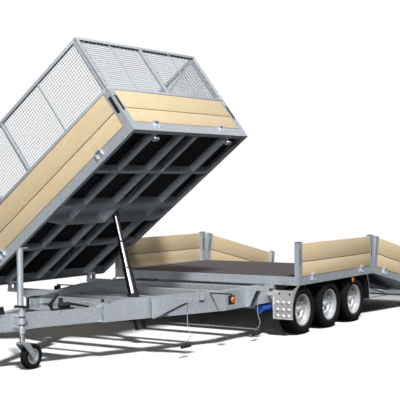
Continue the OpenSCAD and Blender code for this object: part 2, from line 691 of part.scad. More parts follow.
// Posts at the deck's front corners, both sides of the kink and the tail's end
module deck_posts() {
    h = board_h + 12;
    color(galvanised) {
        for (s = sides) {
            at_eye() translate([0, 0, deck_h]) {
                post(deck_front_x - post_w, s, h);
                post(kink_back, s, h);
            }
            sloped() {
                post(tail_post_x, s, h - 8);
                post(-tail_l, s, h);
            }
            sloped() translate([-tail_l + post_w/2, s*(rail_y - post_d/2), h]) {
                cylinder(d = 16, h = 26);
                rotate([0, -90, 0]) translate([18, 0, -46]) cylinder(d = 12, h = 92);
            }
        }
    }
}

// Side board of two planks with a groove between them, from x0 to x1 above a rail's top
module side_board(x0, x1, s, face, h) {
    scale_y(s) difference() {
        block([x0, face - board_t, board_gap], [x1, face, h]);
        block([x0 - 1, face - 3, board_gap + h*0.42], [x1 + 1, face + 1, board_gap + h*0.42 + groove_w]);
    }
}

// Bored knuckles of a hinged board, outside its rail: the board's ends and its rail's outer face and top
module board_knuckles(x0, x1, s, face, places = board_hinges) {
    for (f = places) {
        x = x0 + (x1 - x0)*f - knuckle_l/2;
        scale_y(s) difference() {
            union() {
                rod_x([x, face + knuckle_out, knuckle_up], knuckle_d, knuckle_l);
                block([x, face - 4, knuckle_up], [x + knuckle_l, face + knuckle_out, knuckle_up + knuckle_d/2]);
                block([x, face - 1, knuckle_up], [x + knuckle_l, face + 4, knuckle_up + 60]);
            }
            rod_x([x - 1, face + knuckle_out, knuckle_up], knuckle_pin_d + 2*running, knuckle_l + 2);
        }
    }
}

// Lugs and pins on a rail that carry a board's knuckles
module board_lugs(x0, x1, s, face, places = board_hinges) {
    lug = 8;
    r = knuckle_d/2 - 1;
    for (f = places) {
        x = x0 + (x1 - x0)*f - knuckle_l/2;
        scale_y(s) {
            rod_x([x - lug - 2, face + knuckle_out, knuckle_up], knuckle_pin_d, knuckle_l + 2*lug + 4);
            for (e = [x - lug - 2, x + knuckle_l + 2]) {
                block([e, face, -50], [e + lug, face + knuckle_out + r, knuckle_up]);
                rod_x([e, face + knuckle_out, knuckle_up], 2*r, lug);
            }
        }
    }
}

module deck_board(s) {
    x0 = deck_board_x0;
    x1 = deck_board_x1;
    color(plank) at_eye() translate([0, 0, deck_h]) {
        side_board(x0, x1, s, rail_y, board_h);
        board_knuckles(x0, x1, s, rail_y);
    }
}

module tail_board(s) {
    x0 = tail_board_x0;
    x1 = tail_board_x1;
    color(plank) sloped() {
        side_board(x0, x1, s, rail_y, board_h);
        board_knuckles(x0, x1, s, rail_y);
    }
}

module deck_board_left() { deck_board(1); }
module deck_board_right() { deck_board(-1); }
module tail_board_left() { tail_board(1); }
module tail_board_right() { tail_board(-1); }

// Loading ramp with a ladder of cross bars, lowered to the ground behind the tail
module loading_ramp() {
    half = ramp_w/2;
    t = ramp_tube;
    start = 26;
    color(galvanised) at_eye() translate([ramp_pin_x, 0, ramp_pin_z]) rotate([0, -ramp_drop, 0]) {
        for (s = sides) block([-ramp_l, s > 0 ? half - t : -half, -20], [-start, s > 0 ? half : -half + t, t - 20]);
        for (y = [-300, 300]) block([-ramp_l, y - 20, -20], [-start, y + 20, t - 20]);
        for (i = [0:6]) {
            x = -start - t - i*(ramp_l - start - 2*t)/6;
            block([x, -half + t, -10], [x + t, half - t, t - 20]);
        }
        block([-ramp_l, -half, -22], [-ramp_l + t, half, -6]);
        // Knuckles on the hinge line, beside the tail's ears
        for (y = ramp_ear_ys) {
            rod_y([0, y - 44, 0], 16, 88);
            for (k = [12, -32]) translate([0, y + k, 0]) profile_xz([[-start - 8, -14], [0, -14], [10, 0], [0, 14], [-start - 8, 14]], 0, 20);
        }
    }
}

// Splash plates ahead of the front wheels, on the main beams, and behind the rear ones, under the rails
module splash_plates() {
    x0 = wheel_z + 48;
    x1 = -2*axle_pitch - wheel_z - 12;
    y0 = beam_y + 60;
    y1 = rail_y - 2;
    top = deck_bottom - touch;
    guard_r = wheel_z + 56;
    color([0.78, 0.80, 0.82]) at_eye() for (s = sides) scale_y(s) {
        block([x0, y0, splash_z], [x0 + 4, y1, drawbar_top]);
        block([x0 + 4, beam_y + touch, drawbar_top - 60], [x0 + 10, y0 + 60, drawbar_top - 20]);
        // Curved cheek from the plate's edge up to the side rail, clear of the tyre
        profile_xz(concat([[x0, drawbar_top], [x0, wheel_z + 66]], arc(0, wheel_z, guard_r, 16, 60, 6), [[guard_r/2, top], [deck_front_x, top]]),
            y1 - 4, 4);
        // Bent flap behind the last wheel
        profile_xz([[x1, top], [x1 - 4, top], [x1 - 60, top - 150], [x1 - 60, splash_z + 50], [x1 - 56, splash_z + 50], [x1 - 56, top - 150]],
            beam_y + 35, y1 - 4 - beam_y - 35);
        block([x1, rail_y - deck_rail_w, top - 4], [x1 + 40, y1, top]);
    }
}

// Marker lamps on their brackets at both sides
module side_lamps() {
    color([0.95, 0.45, 0.10]) at_eye() for (s = sides) scale_y(s) {
        block([lamp_x - 10, beam_face(lamp_x - 10) + touch, lamp_z - 15], [lamp_x + 10, lamp_y, lamp_z + 15]);
        block([lamp_x - 50, lamp_y, lamp_z - 45], [lamp_x + 50, lamp_y + 12, lamp_z + 45]);
        rod_y([lamp_x, lamp_y + 12, lamp_z], 64, 22);
        // Round lamp hung under the side rail, between the last two wheels
        block([rail_lamp_x - 20, rail_y - 24, deck_bottom - 70], [rail_lamp_x + 20, rail_y - 18, deck_bottom - touch]);
        rod_y([rail_lamp_x, rail_y - 18, deck_bottom - 42], 68, 20);
    }
}

// Rear lamp clusters behind the tail's end posts
module rear_lamps() {
    color([0.75, 0.08, 0.08]) sloped() for (s = sides) scale_y(s)
        block([-tail_l - 55, rail_y - 80, 20], [-tail_l - touch, rail_y - 6, 230]);
}

// Upright stanchion with a lever at its head, on the drawbar's right beam
module stanchion() {
    x = stanchion_x;
    y = -beam_face(x) + beam_w/cos(draw_angle) + beam_w/2;
    top = drawbar_top + 540;
    color(galvanised) at_eye() {
        block([x - 55, y - 38, drawbar_top + touch], [x + 55, y + 38, drawbar_top + 12]);
        difference() {
            rod_z([x, y, drawbar_top + 12], 60, top - drawbar_top - 12);
            rod_z([x, y, drawbar_top + 20], 50, top - drawbar_top);
        }
        rod_z([x, y, top], 60, 6);
        rod_z([x, y, top + 6], 20, 18);
        translate([x - 100, y - 8, top + 10]) cube([104, 16, 10]);
    }
}

// Hand pump on the drawbar's left beam, with its socket, link and release rod, and the valve box beside it
module hand_pump() {
    x = pump_x + 50;
    inset = (beam_w + touch)/cos(draw_angle);
    color([0.12, 0.12, 0.13]) at_eye() {
        block([pump_x + 25, -130, drawbar_top + touch], [pump_x + 95, -75, drawbar_top + 95]);
        block([pump_x + 20, -135, drawbar_top + 95], [pump_x + 100, -70, drawbar_top + 107]);
        translate([x, beam_face(x) - inset - beam_w/cos(draw_angle)/2, drawbar_top + touch]) rotate([0, 0, -draw_angle]) {
            block([-100, -14, 0], [130, 30, 14]);
            rod_x([-60, 10, 42], 56, 110);
            rod_z([30, 10, 60], 40, 50);
            profile_xz([[110, 14], [130, 14], [165, 56], [62, 152], [48, 140], [118, 60]], 0, 20);
            profile_xz([[-50, 66], [-58, 40], [-250, 2], [-258, 16]], 14, 14);
            rod_x([-400, 8, 52], 8, 345);
            rod_x([-425, 8, 52], 28, 30);
        }
    }
}

// Small blue reservoir hung from the left beam
module fluid_tank() {
    tank_x = arm_len + axle_tube/2 + 15;
    color([0.10, 0.25, 0.62]) at_eye() {
        rod_x([tank_x, beam_y - 60, beam_bottom - 62], 100, 200);
        for (x = [tank_x + 30, tank_x + 150]) block([x, beam_y - 66, beam_bottom - 20], [x + 24, beam_y - 54, beam_bottom - touch]);
    }
}

// Body frame: rails, cross members, the deep channel over the ram, its bracket and the hinge sockets
module body_frame() {
    z0 = body_z;
    z1 = body_z + body_rail_h;
    under = z1 - floor_t;
    w = body_rail_w;
    color(galvanised) tipped() {
        for (s = sides) channel_x(body_rear_x, body_x, body_y, s, z0, z1, w, 5);
        block([body_x - 5, -body_y + 5, z0], [body_x, body_y - 5, z1]);
        block([body_x - w, -body_y + 5, z0], [body_x - 5, body_y - 5, z0 + 5]);
        block([body_rear_x, -body_y + 5, z0], [body_rear_x + 5, body_y - 5, z1]);
        block([body_rear_x + 5, -body_y + 5, z0], [body_rear_x + w, body_y - 5, z0 + 5]);
        for (x = [outrigger_xs[0], ram_x + 55, ram_x - 180, outrigger_xs[1]]) {
            block([x - 4, -body_y + 5, z0], [x + 4, body_y - 5, under]);
            block([x - 16, -body_y + 5, z0], [x + 4, body_y - 5, z0 + 5]);
        }
        for (y = [-630, 640]) block([body_rear_x + 5, y - 20, z0], [body_x - 5, y + 20, z0 + 40]);
        for (y = [-640, 650]) block([body_rear_x + 5, y - 4, z0 + 40], [body_x - 5, y + 4, under]);
        // Deep channel, open below, tapered at both ends
        for (y = [-140, 110]) profile_xz([[body_rear_x + 5, under], [body_rear_x + 5, z0], [body_rear_x + 250, z0 - 56],
            [body_x - 250, z0 - 56], [body_x - 5, z0], [body_x - 5, under]], y, 8);
        block([body_rear_x + 5, -132, under - 8], [body_x - 5, 110, under]);
        // Ram bracket inside the channel
        for (e = [-38, 28]) block([ram_x + e, -132, z0 - 50], [ram_x + e + 10, 110, under - 8]);
        translate([0, 0, z1]) {
            board_lugs(body_board_x0, body_board_x1, 1, body_y, body_hinges);
            rotate([0, 0, -90]) board_lugs(-front_board_y, front_board_y, 1, body_x, front_hinges);
        }
        // Hinge sockets, each under a cross member
        for (x = outrigger_xs, s = sides) difference() {
            union() {
                rod_x([x - socket_l/2, s*hinge_y, hinge_z], 2*socket_r, socket_l);
                block([x - 26, s*hinge_y - 16, hinge_z], [x + 26, s*hinge_y + 16, z0 + touch]);
            }
            rod_x([x - socket_l/2 - 1, s*hinge_y, hinge_z], hinge_pin_d + 2*running, socket_l + 2);
        }
    }
}

module body_floor() {
    z1 = body_z + body_rail_h;
    color(ply_black) tipped()
        block([body_rear_x + 5, -body_y + body_rail_w, z1 - floor_t], [body_x - 5, body_y - body_rail_w, z1]);
}

// Slotted corner posts and the mid posts that carry the cage
module body_posts() {
    z1 = body_z + body_rail_h + touch;
    top = body_z + body_rail_h + body_board_h;
    p = body_post;
    color(galvanised) tipped() for (s = sides, x = [body_x - p, body_rear_x]) {
        y0 = s > 0 ? body_y - p : -body_y;
        difference() {
            block([x, y0, z1], [x + p, y0 + p, top]);
            block([x + 5, y0 + 5, z1 + 8], [x + p - 5, y0 + p - 5, top - 6]);
            block([x + p/2 - 12, y0 - 1, z1 + 130], [x + p/2 + 12, y0 + p + 1, top - 70]);
            block([x - 1, y0 + p/2 - 12, z1 + 130], [x + p + 1, y0 + p/2 + 12, top - 70]);
        }
        // Lug and pin for the gate's knuckle
        if (s < 0) {
            front = x > ram_x;
            lug_x = front ? x : x + p - 14;
            block([lug_x, gate_pin_y, gate_pin_z - 7], [lug_x + 14, -body_y, gate_pin_z + 7]);
            rod_x([lug_x, gate_pin_y, gate_pin_z], 14, 14);
            rod_x([front ? x - board_gap - 40 : x + p, gate_pin_y, gate_pin_z], knuckle_pin_d, board_gap + 40);
        }
    }
}

// Fixed board across the body's rear end
module end_board(x) {
    z0 = body_z + body_rail_h + touch;
    y1 = body_y - body_post - touch;
    split = z0 + 160;
    difference() {
        block([x, -y1, z0], [x + board_t, y1, z0 + body_board_h - 4]);
        for (e = [-1, board_t - 3]) block([x + e, -y1 - 1, split], [x + e + 4, y1 + 1, split + groove_w]);
    }
}

// Drop board across the body's front, hinged outside the front rail
module body_board_front() {
    color(plank) tipped() translate([0, 0, body_z + body_rail_h]) rotate([0, 0, -90]) {
        side_board(-front_board_y, front_board_y, 1, body_x, body_board_h - board_gap);
        board_knuckles(-front_board_y, front_board_y, 1, body_x, front_hinges);
    }
}

module body_board_rear() { color(plank) tipped() end_board(body_rear_x + 8); }

// Left drop side, hinged outside the rail
module body_board_left() {
    color(plank) tipped() translate([0, 0, body_z + body_rail_h]) {
        side_board(body_board_x0, body_board_x1, 1, body_y, body_board_h - board_gap);
        board_knuckles(body_board_x0, body_board_x1, 1, body_y, body_hinges);
    }
}

// Swings the gate open about its pins
module gate_hung() {
    translate([0, gate_pin_y, gate_pin_z]) rotate([-gate_hang, 0, 0]) translate([0, -gate_pin_y, -gate_pin_z]) children();
}

// Right tipping gate, hung from its top edge between the posts
module body_gate() {
    color(plank) tipped() gate_hung() {
        translate([0, 0, body_z + body_rail_h])
            side_board(body_board_x0, body_board_x1, -1, body_y, body_board_h - 2*board_gap);
        for (x = [body_board_x0, body_board_x1 - 40]) difference() {
            union() {
                rod_x([x, gate_pin_y, gate_pin_z], knuckle_d, 40);
                block([x, gate_pin_y, gate_pin_z - knuckle_d/2], [x + 40, -body_y + 1, gate_pin_z + knuckle_d/2]);
            }
            rod_x([x - 1, gate_pin_y, gate_pin_z], knuckle_pin_d + 2*running, 42);
        }
    }
}

// Sheet of square mesh in the plane of two axes, w wide and h high
module mesh_sheet(w, h) {
    nx = floor(w/mesh_pitch);
    ny = floor(h/mesh_pitch);
    px = w/nx;
    py = h/ny;
    linear_extrude(mesh_wire) difference() {
        square([w, h]);
        for (i = [0:nx - 1], j = [0:ny - 1])
            translate([i*px + mesh_wire/2, j*py + mesh_wire/2]) square([px - mesh_wire, py - mesh_wire]);
    }
}

// Upright cage panel along X from its lower corner: frame, posts and mesh
module cage_panel(w, h, brace) {
    t = cage_tube;
    mid = w/2;
    translate([t, t/2 + mesh_wire/2, t]) rotate([90, 0, 0]) mesh_sheet(w - 2*t, h - 2*t);
    block([0, 0, 0], [w, t, t]);
    block([0, 0, h - t], [w, t, h]);
    for (x = [0, mid - t/2, w - t]) block([x, 0, t], [x + t, t, h - t]);
    for (x = [w*0.25, w*0.75]) block([x - 8, t/2 + mesh_wire/2, t], [x + 8, t/2 + mesh_wire/2 + 8, h - t]);
    if (brace) translate([0, t/2 - mesh_wire/2 - 12, 0]) rotate([90, 0, 0]) translate([0, 0, -12])
        linear_extrude(12) polygon([[mid - t/2, t], [mid - t/2, t + 24], [t + 24, h - t], [t, h - t], [t, h - t - 24], [mid - t/2 - 24, t]]);
}

// Mesh cage above the boards
module body_cage() {
    z0 = body_z + body_rail_h + body_board_h + touch;
    h = body_z + cage_top - z0;
    color(galvanised) tipped() {
        translate([body_rear_x, body_y - cage_tube, z0]) cage_panel(body_l, h, true);
        translate([body_rear_x, -body_y, z0]) cage_panel(body_l, h, false);
        for (x = [body_x, body_rear_x + cage_tube]) translate([x, -body_y + cage_tube + touch, z0])
            rotate([0, 0, 90]) cage_panel(body_w - 2*cage_tube - 2*touch, h, false);
    }
}

// Lock pins pulled from the left seats, hanging on their lanyards
pin_points_front = [
    [1975, 1050, 553.7], [1975, 1050, 530], [1975, 1050, 500], [1975, 1050, 470], [1975, 1049, 440],
    [1975, 1048, 410], [1975, 1047, 380], [1975, 1046, 350], [1975, 1047, 320], [1975, 1052, 295], [1975, 1062, 270],
    [1975, 1075, 245], [1975, 1081, 222], [1975, 1077, 200], [1975, 1063, 182], [1975, 1044, 167], [1975, 1028, 155],
    [1975, 1028, 145]];
pin_points_rear = [
    [700, 1050, 553.7], [700, 1050, 530], [700, 1050, 500], [700, 1050, 470], [700, 1050, 440], [700, 1050, 410],
    [700, 1050, 380], [700, 1049, 350], [700, 1049, 320], [700, 1050, 290], [700, 1056, 262], [700, 1066, 238],
    [700, 1074, 216], [700, 1075, 194], [700, 1068, 172], [700, 1056, 150], [700, 1040, 132], [700, 1026, 118],
    [700, 1026, 108]];
cord_d = 6;

// Unit vector, and ring of points round a point of a path, across the path's direction
function unit(v) = v/norm(v);
function path_dir(p, i) = unit(p[min(i + 1, len(p) - 1)] - p[max(i - 1, 0)]);
function ring(p, i, r, n) = let (t = path_dir(p, i), a = unit(cross(t, [0, 1, 0])), b = cross(t, a))
    [for (k = [0:n - 1]) p[i] + r*(cos(360*k/n)*a + sin(360*k/n)*b)];

// Cord along points
module cord(p, d) {
    n = 8;
    m = len(p);
    points = [for (i = [0:m - 1]) each ring(p, i, d/2, n)];
    walls = [for (i = [0:m - 2], k = [0:n - 1]) [i*n + k, i*n + (k + 1) % n, (i + 1)*n + (k + 1) % n, (i + 1)*n + k]];
    polyhedron(points, concat([[for (k = [n - 1:-1:0]) k]], walls, [[for (k = [0:n - 1]) (m - 1)*n + k]]));
}

module lanyard_front() { color([0.85, 0.85, 0.87]) at_eye() cord(pin_points_front, cord_d); }
module lanyard_rear() { color([0.85, 0.85, 0.87]) at_eye() cord(pin_points_rear, cord_d); }

// Lock pin with its handle, hanging below the end of its lanyard
module lock_pin(p) {
    color([0.13, 0.13, 0.14]) at_eye() translate(p) {
        rod_x([-60, 0, -18 - hinge_pin_d/2], hinge_pin_d, 130);
        rod_y([-66, -45, -18 - hinge_pin_d/2], 14, 60);
        translate([0, 0, -20]) cylinder(d = 8, h = 20);
    }
}

module lock_pin_front() { lock_pin(pin_points_front[len(pin_points_front) - 1]); }
module lock_pin_rear() { lock_pin(pin_points_rear[len(pin_points_rear) - 1]); }

drawbar();
coupling();
brake_lever();
main_frame();
outriggers();
hinge_pins();
ram_mount();
ram_barrel();
ram_stage_1();
ram_stage_2();
ram_stage_3();
jack_tube();
jack_stem();
jack_fork();
jack_tyre();
jack_rim();
axle_front();
axle_mid();
axle_rear();
tyre_left_front();
tyre_left_mid();
tyre_left_rear();
tyre_right_front();
tyre_right_mid();
tyre_right_rear();
rim_left_front();
rim_left_mid();
rim_left_rear();
rim_right_front();
rim_right_mid();
rim_right_rear();
deck_frame();
deck_floor();
tail_frame();
tail_floor();
deck_posts();
deck_board_left();
deck_board_right();
tail_board_left();
tail_board_right();
loading_ramp();
splash_plates();
side_lamps();
rear_lamps();
stanchion();
hand_pump();
fluid_tank();
body_frame();
body_floor();
body_posts();
body_board_front();
body_board_rear();
body_board_left();
body_gate();
body_cage();
lock_pin_front();
lock_pin_rear();
lanyard_front();
lanyard_rear();
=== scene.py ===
"""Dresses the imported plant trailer: its planks, mesh cage, tyres, fittings, finishes, light and camera.

Lengths are in millimetres in the trailer's own coordinates, from the ground under the front axle. Each
piece is placed in the shared frame, whose origin is the towing eye, when its mesh is made.
"""

from __future__ import annotations

import json
import logging
import math
from dataclasses import dataclass
from enum import Enum
from typing import Callable, Iterable, Optional, Sequence

import bmesh
import bpy
from mathutils import Matrix, Vector

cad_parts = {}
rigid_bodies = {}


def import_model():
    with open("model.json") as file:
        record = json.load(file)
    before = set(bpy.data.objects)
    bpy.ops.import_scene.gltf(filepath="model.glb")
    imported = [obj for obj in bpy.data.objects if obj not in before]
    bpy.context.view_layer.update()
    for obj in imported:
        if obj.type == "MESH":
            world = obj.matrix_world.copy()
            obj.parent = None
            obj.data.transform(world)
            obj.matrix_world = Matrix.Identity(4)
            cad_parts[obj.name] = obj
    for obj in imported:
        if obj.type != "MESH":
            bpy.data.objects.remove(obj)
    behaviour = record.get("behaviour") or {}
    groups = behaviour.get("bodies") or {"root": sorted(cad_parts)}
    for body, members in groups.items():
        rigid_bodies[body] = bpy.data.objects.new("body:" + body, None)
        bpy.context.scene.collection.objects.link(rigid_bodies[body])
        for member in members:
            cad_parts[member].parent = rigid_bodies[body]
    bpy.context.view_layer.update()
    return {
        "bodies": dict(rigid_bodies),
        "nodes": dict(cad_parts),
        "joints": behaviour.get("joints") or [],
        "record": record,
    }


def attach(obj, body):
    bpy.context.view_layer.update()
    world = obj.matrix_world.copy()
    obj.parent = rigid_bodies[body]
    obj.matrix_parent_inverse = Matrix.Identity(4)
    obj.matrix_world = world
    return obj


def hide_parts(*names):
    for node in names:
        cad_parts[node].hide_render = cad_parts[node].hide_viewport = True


LOG = logging.getLogger("plant_trailer")
MM = 0.001
Point = Sequence[float]
Outline = Sequence[Sequence[float]]
Triple = tuple[float, float, float]
Copy = tuple[Point, Point, Point]
SIDES = (("left", 1), ("right", -1))
SEAT = 0.3
MERGE_DISTANCE = 0.001
UPRIGHT = 0.9
SHARP_DEGREES = 32.0
BOLT_SIDES = 6
KNUCKLE_STEPS = 20
ACROSS_X = (0.0, math.pi / 2, 0.0)
ACROSS_Y = (math.pi / 2, 0.0, 0.0)
UNTURNED = (0.0, 0.0, 0.0)
BUMP_STRENGTH = 0.6
LENS_COAT = 0.6
LENS_GLOW = 0.12
WOOD_COAT = 0.15
WOOD_COAT_ROUGHNESS = 0.3


def across(s: int, inner: float, outer: float) -> tuple[float, float]:
    """Gives the lower and the higher y of what lies between two distances from the centreline.

    Args:
        s: 1 on the left and -1 on the right.
        inner: One distance from the centreline.
        outer: The other distance.

    Returns:
        The two values of y, the lower one first.
    """
    low, high = sorted((s * inner, s * outer))
    return low, high


class Coords(Enum):
    """Where a finish reads its pattern."""

    OBJECT = "object"
    BOARD = "board"


class Pattern(Enum):
    """What a finish draws on its surface."""

    GALVANISED = "galvanised"
    GRAIN = "grain"
    FILM = "film"
    PAINT = "paint"
    RUBBER = "rubber"
    PLATED = "plated"
    LENS = "lens"
    # Painted highlight on the ram's chrome: bright where it faces the camera, painted dark reflection towards
    # its edges.
    CHROME_PAINTED_HIGHLIGHT = "chrome"


@dataclass(frozen=True)
class Finish:
    """One surface finish.

    Args:
        name: The material's name.
        slot: The record's material slot.
        pattern: What is drawn on the surface.
        color: Main colour, linear.
        second: Colour of the variation, linear; for the ram's chrome, the painted dark reflection at its
            edges.
        metallic: How metallic the surface is.
        roughness: Lowest roughness.
        spread: How far the roughness rises over the variation.
        scale: Size of the pattern, per metre.
        bump: Height of the relief, in metres.
        coords: Where the pattern is read.
        specular: How strongly a surface that isn't metal mirrors.
    """

    name: str
    slot: str
    pattern: Pattern
    color: Triple
    second: Triple
    metallic: float = 0.0
    roughness: float = 0.5
    spread: float = 0.15
    scale: float = 20.0
    bump: float = 0.0004
    coords: Coords = Coords.OBJECT
    specular: float = 0.5


GALVANISED = Finish("galvanised_steel", "galvanised", Pattern.GALVANISED, (0.66, 0.70, 0.74),
                    (0.42, 0.47, 0.52), metallic=0.45, roughness=0.32, spread=0.20, scale=38.0, bump=0.0003)
BRIGHT = Finish("bright_zinc", "bright_steel", Pattern.PLATED, (0.74, 0.75, 0.77), (0.60, 0.61, 0.63),
                metallic=0.85, roughness=0.22, spread=0.12, scale=60.0, bump=0.0001)
BLACK = Finish("black_paint", "black_steel", Pattern.PAINT, (0.009, 0.009, 0.010), (0.018, 0.018, 0.020),
               roughness=0.38, spread=0.2, scale=30.0, bump=0.0002, specular=0.3)
# The ram's chrome: the first colour is a painted highlight along the middle, the second the painted dark
# reflection at the edges.
CHROME_PAINTED_HIGHLIGHT = Finish("ram_chrome_painted_highlight", "chrome_ram", Pattern.CHROME_PAINTED_HIGHLIGHT, (0.80, 0.78, 0.80), (0.035, 0.032, 0.038),
                metallic=0.9, roughness=0.14, spread=0.08, scale=40.0, bump=0.00005)
RUBBER = Finish("tyre_rubber", "tyre", Pattern.RUBBER, (0.005, 0.005, 0.0055), (0.011, 0.0105, 0.0105),
                roughness=0.72, spread=0.2, scale=26.0, bump=0.0003, specular=0.15)
RIM = Finish("rim_silver_paint", "rim_silver", Pattern.PLATED, (0.66, 0.68, 0.70), (0.52, 0.54, 0.56),
             metallic=0.45, roughness=0.30, spread=0.15, scale=30.0, bump=0.0001)
PLANK = Finish("cream_plank", "board_cream", Pattern.GRAIN, (0.80, 0.65, 0.42), (0.72, 0.56, 0.33),
               roughness=0.42, spread=0.15, scale=9.0, bump=0.0003, coords=Coords.BOARD)
DECK_PLY = Finish("deck_film_ply", "deck_ply", Pattern.FILM, (0.062, 0.056, 0.059), (0.088, 0.080, 0.083),
                  roughness=0.70, spread=0.2, scale=14.0, bump=0.0006, specular=0.25)
BODY_PLY = Finish("body_film_ply", "body_ply", Pattern.FILM, (0.004, 0.004, 0.005), (0.010, 0.009, 0.009),
                  roughness=0.55, spread=0.2, scale=14.0, bump=0.0004, specular=0.15)
TREAD = Finish("tread_aluminium", "tread_plate", Pattern.PLATED, (0.86, 0.86, 0.85), (0.66, 0.66, 0.65),
               metallic=0.5, roughness=0.25, spread=0.15, scale=50.0, bump=0.0001)
AMBER = Finish("amber_lens", "amber_lens", Pattern.LENS, (0.85, 0.20, 0.01), (0.70, 0.14, 0.005),
               roughness=0.12, spread=0.05, scale=180.0, bump=0.0006)
RED = Finish("red_lens", "red_lens", Pattern.LENS, (0.50, 0.012, 0.01), (0.36, 0.008, 0.008),
             roughness=0.12, spread=0.05, scale=120.0, bump=0.0006)
BLUE = Finish("blue_enamel", "blue_paint", Pattern.PAINT, (0.02, 0.09, 0.42), (0.03, 0.13, 0.50),
              roughness=0.25, spread=0.15, scale=30.0, bump=0.0001)
CORD = Finish("coated_wire", "lanyard", Pattern.PAINT, (0.62, 0.62, 0.63), (0.50, 0.50, 0.51),
              roughness=0.4, spread=0.1, scale=200.0, bump=0.0002)
# Painted shade in the groove between two planks and in the gap under a board: the cream board's slot in a
# dark brown.
PAINTED_GAP_SHADE = Finish("painted_gap_shade", "board_cream", Pattern.PAINT, (0.10, 0.065, 0.035), (0.14, 0.09, 0.05),
                roughness=0.6, spread=0.2, scale=40.0, bump=0.0001)
GREY_BOX = Finish("grey_moulding", "black_steel", Pattern.PAINT, (0.30, 0.33, 0.34), (0.24, 0.27, 0.28),
                  roughness=0.5, spread=0.15, scale=60.0, bump=0.0002)
NODE_FINISHES = (GALVANISED, BRIGHT, BLACK, CHROME_PAINTED_HIGHLIGHT, RUBBER, RIM, PLANK, DECK_PLY, BODY_PLY, TREAD, AMBER, RED,
                 BLUE, CORD)


class Nodes:
    """Small helper that adds and links nodes of one tree."""

    def __init__(self, tree: bpy.types.NodeTree) -> None:
        """Keeps the tree."""
        self.tree = tree

    def add(self, kind: str, **values: object) -> bpy.types.Node:
        """Adds a node.

        Args:
            kind: The node's type name.
            values: Properties of the node, and inputs by their name with underscores for spaces.

        Returns:
            The new node.
        """
        node = self.tree.nodes.new(kind)
        for key, value in values.items():
            if hasattr(node, key):
                setattr(node, key, value)
            else:
                node.inputs[key.replace("_", " ")].default_value = value
        return node

    def link(self, source: bpy.types.NodeSocket, target: bpy.types.NodeSocket) -> None:
        """Links two sockets."""
        self.tree.links.new(source, target)

    def mix(self, factor: bpy.types.NodeSocket, first: object, second: object) -> bpy.types.NodeSocket:
        """Mixes two colours.

        Args:
            factor: The mask.
            first: Colour or socket where the mask is 0.
            second: Colour or socket where the mask is 1.

        Returns:
            The mixed colour's socket.
        """
        node = self.tree.nodes.new("ShaderNodeMix")
        node.data_type = "RGBA"
        self.link(factor, node.inputs["Factor"])
        for socket, value in ((node.inputs[6], first), (node.inputs[7], second)):
            if isinstance(value, bpy.types.NodeSocket):
                self.link(value, socket)
            else:
                socket.default_value = (*value, 1.0)
        return node.outputs[2]

    def span(
        self, value: bpy.types.NodeSocket, low: float, high: float, to_low: float, to_high: float
    ) -> bpy.types.NodeSocket:
        """Maps a value from one range to another.

        Args:
            value: The value's socket.
            low: Start of the range it comes from.
            high: End of the range it comes from.
            to_low: Start of the range it goes to.
            to_high: End of the range it goes to.

        Returns:
            The mapped value's socket.
        """
        node = self.add("ShaderNodeMapRange", From_Min=low, From_Max=high, To_Min=to_low, To_Max=to_high)
        self.link(value, node.inputs["Value"])
        return node.outputs["Result"]


class Weathering:
    """Shader group shared by the finishes: blotches, fine specks and spangle cells as masks."""

    FINER = 6.0
    BLOTCH_RANGE = (0.32, 0.68)
    SPECK_RANGE = (0.35, 0.65)

    def __init__(self) -> None:
        """Builds the group once."""
        group = bpy.data.node_groups.new("weathering", "ShaderNodeTree")
        for name, kind in (("Vector", "NodeSocketVector"), ("Scale", "NodeSocketFloat")):
            group.interface.new_socket(name, in_out="INPUT", socket_type=kind)
        for name in ("Blotches", "Specks", "Cells"):
            group.interface.new_socket(name, in_out="OUTPUT", socket_type="NodeSocketFloat")
        nodes = Nodes(group)
        source = nodes.add("NodeGroupInput")
        target = nodes.add("NodeGroupOutput")
        fine = nodes.add("ShaderNodeMath", operation="MULTIPLY")
        fine.inputs[1].default_value = self.FINER
        nodes.link(source.outputs["Scale"], fine.inputs[0])
        blotches = nodes.add("ShaderNodeTexNoise", Detail=5.0, Roughness=0.6)
        specks = nodes.add("ShaderNodeTexNoise", Detail=3.0, Roughness=0.7)
        cells = nodes.add("ShaderNodeTexVoronoi", Randomness=1.0)
        coarse, finer = source.outputs["Scale"], fine.outputs[0]
        for texture, scale in ((blotches, coarse), (specks, finer), (cells, finer)):
            nodes.link(source.outputs["Vector"], texture.inputs["Vector"])
            nodes.link(scale, texture.inputs["Scale"])
        gray = nodes.add("ShaderNodeSeparateColor")
        nodes.link(cells.outputs["Color"], gray.inputs[0])
        for name, texture, (low, high) in (
            ("Blotches", blotches, self.BLOTCH_RANGE), ("Specks", specks, self.SPECK_RANGE)
        ):
            nodes.link(nodes.span(texture.outputs[0], low, high, 0.0, 1.0), target.inputs[name])
        nodes.link(gray.outputs[0], target.inputs["Cells"])
        self.group = group


